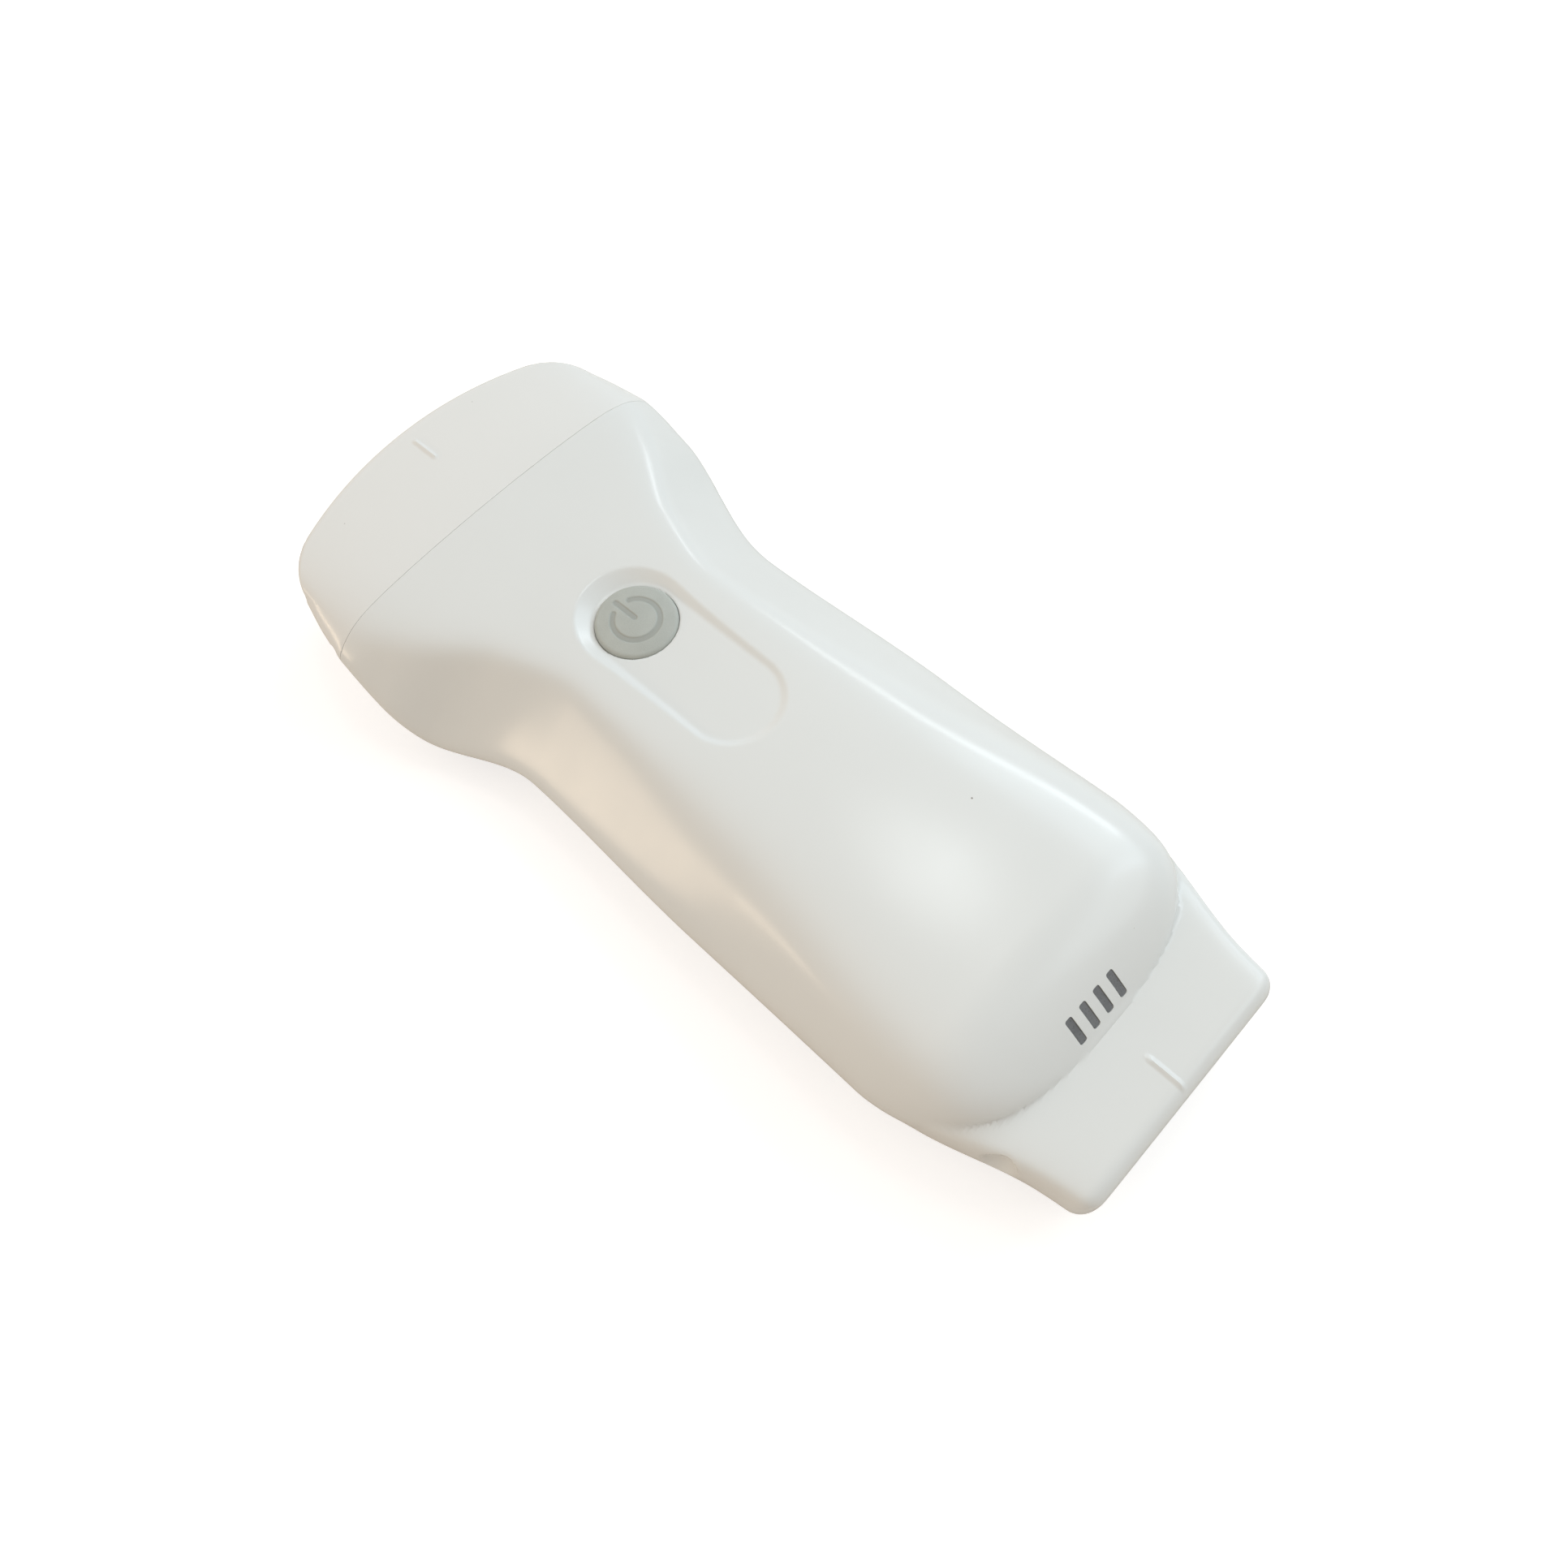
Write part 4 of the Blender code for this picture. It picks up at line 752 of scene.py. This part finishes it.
class Shader:
    """A material's node tree, with short calls for the nodes that it is made of."""

    def __init__(self, name):
        self.material = bpy.data.materials.new(name)
        self.material.use_nodes = True
        self.nodes = self.material.node_tree.nodes
        self.links = self.material.node_tree.links
        self.surface = self.nodes["Principled BSDF"]
        self.place = self.nodes.new("ShaderNodeTexCoord").outputs["Object"]

    def set(self, **values):
        for name, value in values.items():
            self.surface.inputs[name.replace("_", " ")].default_value = value
        return self

    def noise(self, scale, detail=4.0, roughness=0.5, stretch=(1, 1, 1)):
        """Noise with this many cells a millimetre."""
        mapping = self.nodes.new("ShaderNodeMapping")
        mapping.inputs["Scale"].default_value = tuple(1000 * scale * s for s in stretch)
        texture = self.nodes.new("ShaderNodeTexNoise")
        texture.inputs["Scale"].default_value = 1.0
        texture.inputs["Detail"].default_value = detail
        texture.inputs["Roughness"].default_value = roughness
        self.links.new(self.place, mapping.inputs["Vector"])
        self.links.new(mapping.outputs["Vector"], texture.inputs["Vector"])
        return texture.outputs["Fac"]

    def specks(self, apart, radius):
        """1 in small spots of up to this radius, about this far apart, and 0 elsewhere."""
        texture = self.nodes.new("ShaderNodeTexVoronoi")
        texture.inputs["Scale"].default_value = 1000 / apart
        self.links.new(self.place, texture.inputs["Vector"])
        edge = radius / apart
        return self.spread(texture.outputs["Distance"], edge, 0.6 * edge)

    def waves(self, scale, axis, kind):
        """Bands across an axis, or rings round it, with this many waves a millimetre or so."""
        mapping = self.nodes.new("ShaderNodeMapping")
        mapping.inputs["Scale"].default_value = (1000 * scale,) * 3
        texture = self.nodes.new("ShaderNodeTexWave")
        texture.wave_type = kind
        if kind == "BANDS":
            texture.bands_direction = axis
        else:
            texture.rings_direction = axis
        texture.inputs["Scale"].default_value = 1.0
        self.links.new(self.place, mapping.inputs["Vector"])
        self.links.new(mapping.outputs["Vector"], texture.inputs["Vector"])
        return texture.outputs["Fac"]

    def spread(self, value, low, high, start=0.0, end=1.0):
        """The value, mapped from low to high onto start to end."""
        node = self.nodes.new("ShaderNodeMapRange")
        sockets = ("From Min", "From Max", "To Min", "To Max")
        for name, number in zip(sockets, (low, high, start, end)):
            node.inputs[name].default_value = number
        self.links.new(value, node.inputs["Value"])
        return node.outputs["Result"]

    def blend(self, share, first, second):
        """A colour between two, where the first may be another node's output."""
        node = self.nodes.new("ShaderNodeMix")
        node.data_type = "RGBA"
        self.links.new(share, node.inputs[0])
        if isinstance(first, tuple):
            node.inputs[6].default_value = (*first, 1.0)
        else:
            self.links.new(first, node.inputs[6])
        node.inputs[7].default_value = (*second, 1.0)
        return node.outputs[2]

    def total(self, first, second):
        node = self.nodes.new("ShaderNodeMath")
        node.operation = "ADD"
        self.links.new(first, node.inputs[0])
        self.links.new(second, node.inputs[1])
        return node.outputs[0]

    def colour(self, value):
        self.links.new(value, self.surface.inputs["Base Color"])
        return self

    def rough(self, value):
        self.links.new(value, self.surface.inputs["Roughness"])
        return self

    def bump(self, height, depth):
        """Bump with this depth in millimetres."""
        node = self.nodes.new("ShaderNodeBump")
        node.inputs["Distance"].default_value = depth * MM
        self.links.new(height, node.inputs["Height"])
        self.links.new(node.outputs["Normal"], self.surface.inputs["Normal"])
        return self


SPECK_APART, SPECK_RADIUS = 7.5, 0.17
SPECK_COLOUR = (0.30, 0.27, 0.24)
PLASTIC_IOR = 1.49


def satin_white(name, colour, shade):
    """Satin moulded plastic: faint flow mottling, fine grain, and a few specks of dust."""
    s = Shader(name)
    flow = s.noise(0.035, 3.0, 0.5, (0.5, 1, 1))
    grain = s.noise(5.0, 2.0, 0.6)
    smudge = s.noise(0.12, 5.0, 0.65)
    tint = s.blend(s.spread(flow, 0.3, 0.7), colour, shade)
    s.colour(s.blend(s.specks(SPECK_APART, SPECK_RADIUS), tint, SPECK_COLOUR))
    s.rough(s.spread(s.total(smudge, grain), 0.6, 1.4, 0.17, 0.25))
    s.bump(grain, 0.003)
    return s.set(IOR=PLASTIC_IOR).material


CAP_DARK, CAP_PALE = (0.42, 0.435, 0.395), (0.50, 0.515, 0.47)
# Painted shade: the symbol's strokes are coloured darker to stand in for the shade inside the
# engraving.
ENGRAVING_SHADE_COLOUR = (0.37, 0.38, 0.345)


def button_grey():
    """Matte silicone, with painted shade: a darker colour in the strokes of the engraved symbol."""
    s = Shader("button_silicone")
    grain = s.noise(7.0, 3.0, 0.6)
    tone = s.noise(0.3, 3.0, 0.5)
    base = s.blend(s.spread(s.total(grain, tone), 0.6, 1.4), CAP_DARK, CAP_PALE)
    attribute = s.nodes.new("ShaderNodeAttribute")
    attribute.attribute_name = "mark"
    # painted shade of the engraving, laid over the strokes kept in the attribute
    s.colour(s.blend(attribute.outputs["Fac"], base, ENGRAVING_SHADE_COLOUR))
    s.rough(s.spread(grain, 0.3, 0.7, 0.5, 0.66))
    return s.bump(grain, 0.03).material


def fine_rough(s, fine, roughness):
    """Roughness that varies about its value with the fine noise."""
    s.rough(s.spread(fine, 0.3, 0.7, roughness * 0.85, min(roughness * 1.15, 1.0)))


def mottled(name, first, second, scale, roughness, bump=0.02, metallic=0.0):
    """A cloudy mix of two colours, with a fine grain."""
    s = Shader(name)
    pattern = s.noise(scale, 4.0, 0.55)
    fine = s.noise(scale * 8, 2.0, 0.5)
    s.colour(s.blend(s.spread(pattern, 0.3, 0.7), first, second))
    fine_rough(s, fine, roughness)
    return s.bump(s.total(pattern, fine), bump).set(Metallic=metallic).material


def striped(name, first, second, scale, axis, roughness, bump=0.03, metallic=0.0, kind="BANDS"):
    """Stripes or rings of two colours, raised where they are pale."""
    s = Shader(name)
    bands = s.waves(scale, axis, kind)
    fine = s.noise(6.0, 2.0, 0.5)
    s.colour(s.blend(s.spread(bands, 0.25, 0.6), first, second))
    fine_rough(s, fine, roughness)
    return s.bump(bands, bump).set(Metallic=metallic).material


# Two colours, cells a millimetre, roughness, and where they aren't the usual ones the bump's depth
# and the share of metal
MOTTLED = {
    "lens_silicone": ((0.24, 0.26, 0.28), (0.28, 0.30, 0.32), 0.2, 0.42),
    "smoked_plastic": ((0.15, 0.155, 0.16), (0.19, 0.195, 0.2), 0.4, 0.3, 0.01),
    "seal_rubber": ((0.045, 0.045, 0.05), (0.07, 0.07, 0.075), 0.8, 0.7),
    "backing_resin": ((0.09, 0.085, 0.08), (0.14, 0.13, 0.12), 1.2, 0.6, 0.04),
    "board_laminate": ((0.02, 0.13, 0.06), (0.035, 0.18, 0.09), 0.9, 0.4, 0.02),
    "chip_plastic": ((0.035, 0.035, 0.035), (0.06, 0.06, 0.06), 2.0, 0.55, 0.02),
    "tinned_steel": ((0.66, 0.66, 0.64), (0.78, 0.78, 0.76), 0.8, 0.3, 0.01, 1.0),
    "ferrite": ((0.1, 0.1, 0.11), (0.17, 0.17, 0.18), 1.5, 0.6, 0.03),
    "battery_film": ((0.64, 0.66, 0.68), (0.74, 0.76, 0.78), 0.25, 0.3, 0.06),
    "foam": ((0.12, 0.12, 0.14), (0.24, 0.24, 0.27), 2.5, 0.9, 0.2),
    "connector_nylon": ((0.76, 0.73, 0.63), (0.83, 0.8, 0.71), 0.5, 0.5),
}
# The same, with the stripes' axis before the roughness
STRIPED = {
    "ceramic": ((0.30, 0.27, 0.21), (0.62, 0.58, 0.48), 0.55, "Y", 0.5),
    "flex_film": ((0.58, 0.29, 0.06), (0.66, 0.38, 0.12), 0.6, "Y", 0.35, 0.02),
    "aluminium": ((0.70, 0.71, 0.72), (0.78, 0.79, 0.80), 3.0, "Y", 0.35, 0.01, 1.0),
    "copper": ((0.42, 0.2, 0.1), (0.76, 0.42, 0.25), 0.35, "Z", 0.3, 0.1, 1.0, "RINGS"),
}
materials = {
    "white_plastic": satin_white("white_plastic", (0.79, 0.795, 0.77), (0.76, 0.765, 0.74)),
    "nose_plastic": satin_white("nose_plastic", (0.81, 0.805, 0.775), (0.79, 0.785, 0.755)),
    "button_silicone": button_grey(),
}
materials.update({name: mottled(name, *look) for name, look in MOTTLED.items()})
materials.update({name: striped(name, *look) for name, look in STRIPED.items()})

SHARP_EDGE = math.radians(38)


def piece(name, data, node, body, slot, material=None):
    """A finished piece that rides on a body and is shown in place of a CAD node."""
    data.materials.clear()
    data.materials.append(materials[material or slot])
    data.shade_smooth()
    data.set_sharp_from_angle(angle=SHARP_EDGE)
    obj = new_object(name, data)
    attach(obj, body)
    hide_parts(node)


for subpart in frame["record"]["subparts"]:
    node = bpy.data.objects.get(subpart["node"])
    if node is None:
        continue
    for slot in node.material_slots:
        slot.material = materials[subpart["material_slot"]]

piece("housing_shell", housing_shell(), "upper_housing", "scanner", "white_plastic")
piece("cover_shell", cover_shell(), "bottom_cover", "scanner", "white_plastic")
piece("nose_shell", nose_shell(), "nose_cap", "scanner", "white_plastic", "nose_plastic")
piece("convex_window", convex_window(), "convex_lens", "scanner", "lens_silicone")
piece("linear_window", linear_window(), "linear_lens", "scanner", "lens_silicone")
piece("light_bar", light_bar(), "light_guide", "scanner", "smoked_plastic")
piece("button_cap", button_mesh(), "power_button", "button", "button_silicone")


FLOOR_HALF, FLOOR_DROP = 3.0, 0.0002  # in metres
FLOOR_COLOUR = (0.72, 0.66, 0.60, 1.0)
GLOW_COLOUR = (0.90, 0.95, 1.0, 1.0)
FLOOR_GLOW = 0.6  # what the floor adds to its own colour in the camera's view


def floor_material():
    """A pale floor that the camera sees as white where no shadow falls on it."""
    made = bpy.data.materials.new("studio_floor")
    made.use_nodes = True
    nodes, links = made.node_tree.nodes, made.node_tree.links
    nodes.clear()
    diffuse = nodes.new("ShaderNodeBsdfDiffuse")
    diffuse.inputs["Color"].default_value = FLOOR_COLOUR
    glow = nodes.new("ShaderNodeEmission")
    glow.inputs["Color"].default_value = GLOW_COLOUR
    level = nodes.new("ShaderNodeMath")
    level.operation = "MULTIPLY"
    level.inputs[1].default_value = FLOOR_GLOW
    both = nodes.new("ShaderNodeAddShader")
    links.new(nodes.new("ShaderNodeLightPath").outputs["Is Camera Ray"], level.inputs[0])
    links.new(level.outputs[0], glow.inputs["Strength"])
    links.new(diffuse.outputs[0], both.inputs[0])
    links.new(glow.outputs[0], both.inputs[1])
    links.new(both.outputs[0], nodes.new("ShaderNodeOutputMaterial").inputs["Surface"])
    return made


def stage_floor():
    data = bpy.data.meshes.new("studio_floor")
    far = FLOOR_HALF
    corners = [(-far, -far, 0), (far, -far, 0), (far, far, 0), (-far, far, 0)]
    data.from_pydata(corners, [], [(0, 1, 2, 3)])
    data.materials.append(floor_material())
    obj = new_object("studio_floor", data)
    obj.location.z = -FLOOR_DROP


LAMP_DISTANCE = 0.6  # in metres
SKY_COLOUR = (0.66, 0.63, 0.60)
SKY_CHANGE = ((0.22, 0.21, 0.20), (0.08, 0.03, -0.03))


def direction(azimuth, elevation):
    """Unit vector from the object at these angles, in radians."""
    level = math.cos(elevation)
    return Vector((level * math.cos(azimuth), level * math.sin(azimuth), math.sin(elevation)))


def soft_box(name, azimuth, elevation, size, power, colour):
    """A rectangular lamp that faces the object from this direction, in degrees and metres."""
    lamp = bpy.data.lights.new(name, "AREA")
    lamp.shape = "RECTANGLE"
    lamp.size, lamp.size_y = size
    lamp.energy = power
    lamp.color = colour
    obj = new_object(name, lamp)
    away = direction(math.radians(azimuth), math.radians(elevation))
    obj.location = LAMP_DISTANCE * away
    obj.rotation_euler = (-away).to_track_quat("-Z", "Y").to_euler()


def graded_sky(nodes, links):
    """Soft light from all round whose colour changes evenly along X and Y."""
    parts = nodes.new("ShaderNodeSeparateXYZ")
    links.new(nodes.new("ShaderNodeTexCoord").outputs["Generated"], parts.inputs[0])
    colour = None
    for axis, change in zip("XY", SKY_CHANGE):
        term = nodes.new("ShaderNodeVectorMath")
        term.operation = "MULTIPLY_ADD"
        term.name = "sky_" + axis
        term.inputs[1].default_value = change
        links.new(parts.outputs[axis], term.inputs[0])
        if colour is None:
            term.inputs[2].default_value = SKY_COLOUR
        else:
            links.new(colour, term.inputs[2])
        colour = term.outputs[0]
    return colour


def studio_world():
    world = bpy.data.worlds.new("studio")
    bpy.context.scene.world = world
    world.use_nodes = True
    nodes, links = world.node_tree.nodes, world.node_tree.links
    nodes.clear()
    path = nodes.new("ShaderNodeLightPath")
    around = nodes.new("ShaderNodeBackground")
    links.new(graded_sky(nodes, links), around.inputs["Color"])
    seen = nodes.new("ShaderNodeBackground")
    seen.inputs["Color"].default_value = (1.0, 1.0, 1.0, 1.0)
    mix = nodes.new("ShaderNodeMixShader")
    output = nodes.new("ShaderNodeOutputWorld")
    links.new(path.outputs["Is Camera Ray"], mix.inputs[0])
    links.new(around.outputs[0], mix.inputs[1])
    links.new(seen.outputs[0], mix.inputs[2])
    links.new(mix.outputs[0], output.inputs["Surface"])


stage_floor()
studio_world()
soft_box("key_light", -98, 40, (0.5, 0.3), 1.05, (0.72, 0.89, 1.0))
soft_box("sheen_light", -60, 71, (0.11, 0.11), 0.19, (0.9, 0.97, 1.0))
soft_box("side_light", -76, 30, (0.3, 0.06), 0.35, (0.85, 0.95, 1.0))
soft_box("warm_light", 54, 10, (0.32, 0.025), 0.38, (1.0, 0.78, 0.55))
soft_box("back_light", -138, 38, (0.35, 0.25), 0.4, (0.85, 0.95, 1.0))

# The camera, found by fitting the form to the photograph: focal length in pixels of a frame 1932
# pixels wide, place in millimetres
FRAME_WIDTH = 1932.0
FOCAL = 1500.0
SENSOR_WIDTH = 36.0
ELEVATION, AZIMUTH, ROLL = math.radians(65.49), math.radians(-220.56), math.radians(6.79)
AIM = Vector((-6.31, -3.45, 186.48))
AIM_X = 2.0  # the fit's origin, measured along the scanner from this scene's


def add_camera():
    back = direction(AZIMUTH, ELEVATION)
    right = (-back).cross(Vector((0, 0, 1))).normalized()
    down = (-back).cross(right)
    turned_right = math.cos(ROLL) * right + math.sin(ROLL) * down
    turned_down = -math.sin(ROLL) * right + math.cos(ROLL) * down
    rows = Matrix((turned_right, turned_down, -back))
    shift = AIM - AIM_X * rows.col[0]
    place = -(rows.transposed() @ shift) * MM
    lens = bpy.data.cameras.new("camera")
    lens.sensor_width = SENSOR_WIDTH
    lens.lens = SENSOR_WIDTH * FOCAL / FRAME_WIDTH
    camera = new_object("camera", lens)
    basis = Matrix((turned_right, -turned_down, back)).transposed()
    camera.matrix_world = Matrix.Translation(place) @ basis.to_4x4()
    bpy.context.scene.camera = camera


add_camera()
bpy.context.scene.view_settings.view_transform = "Standard"
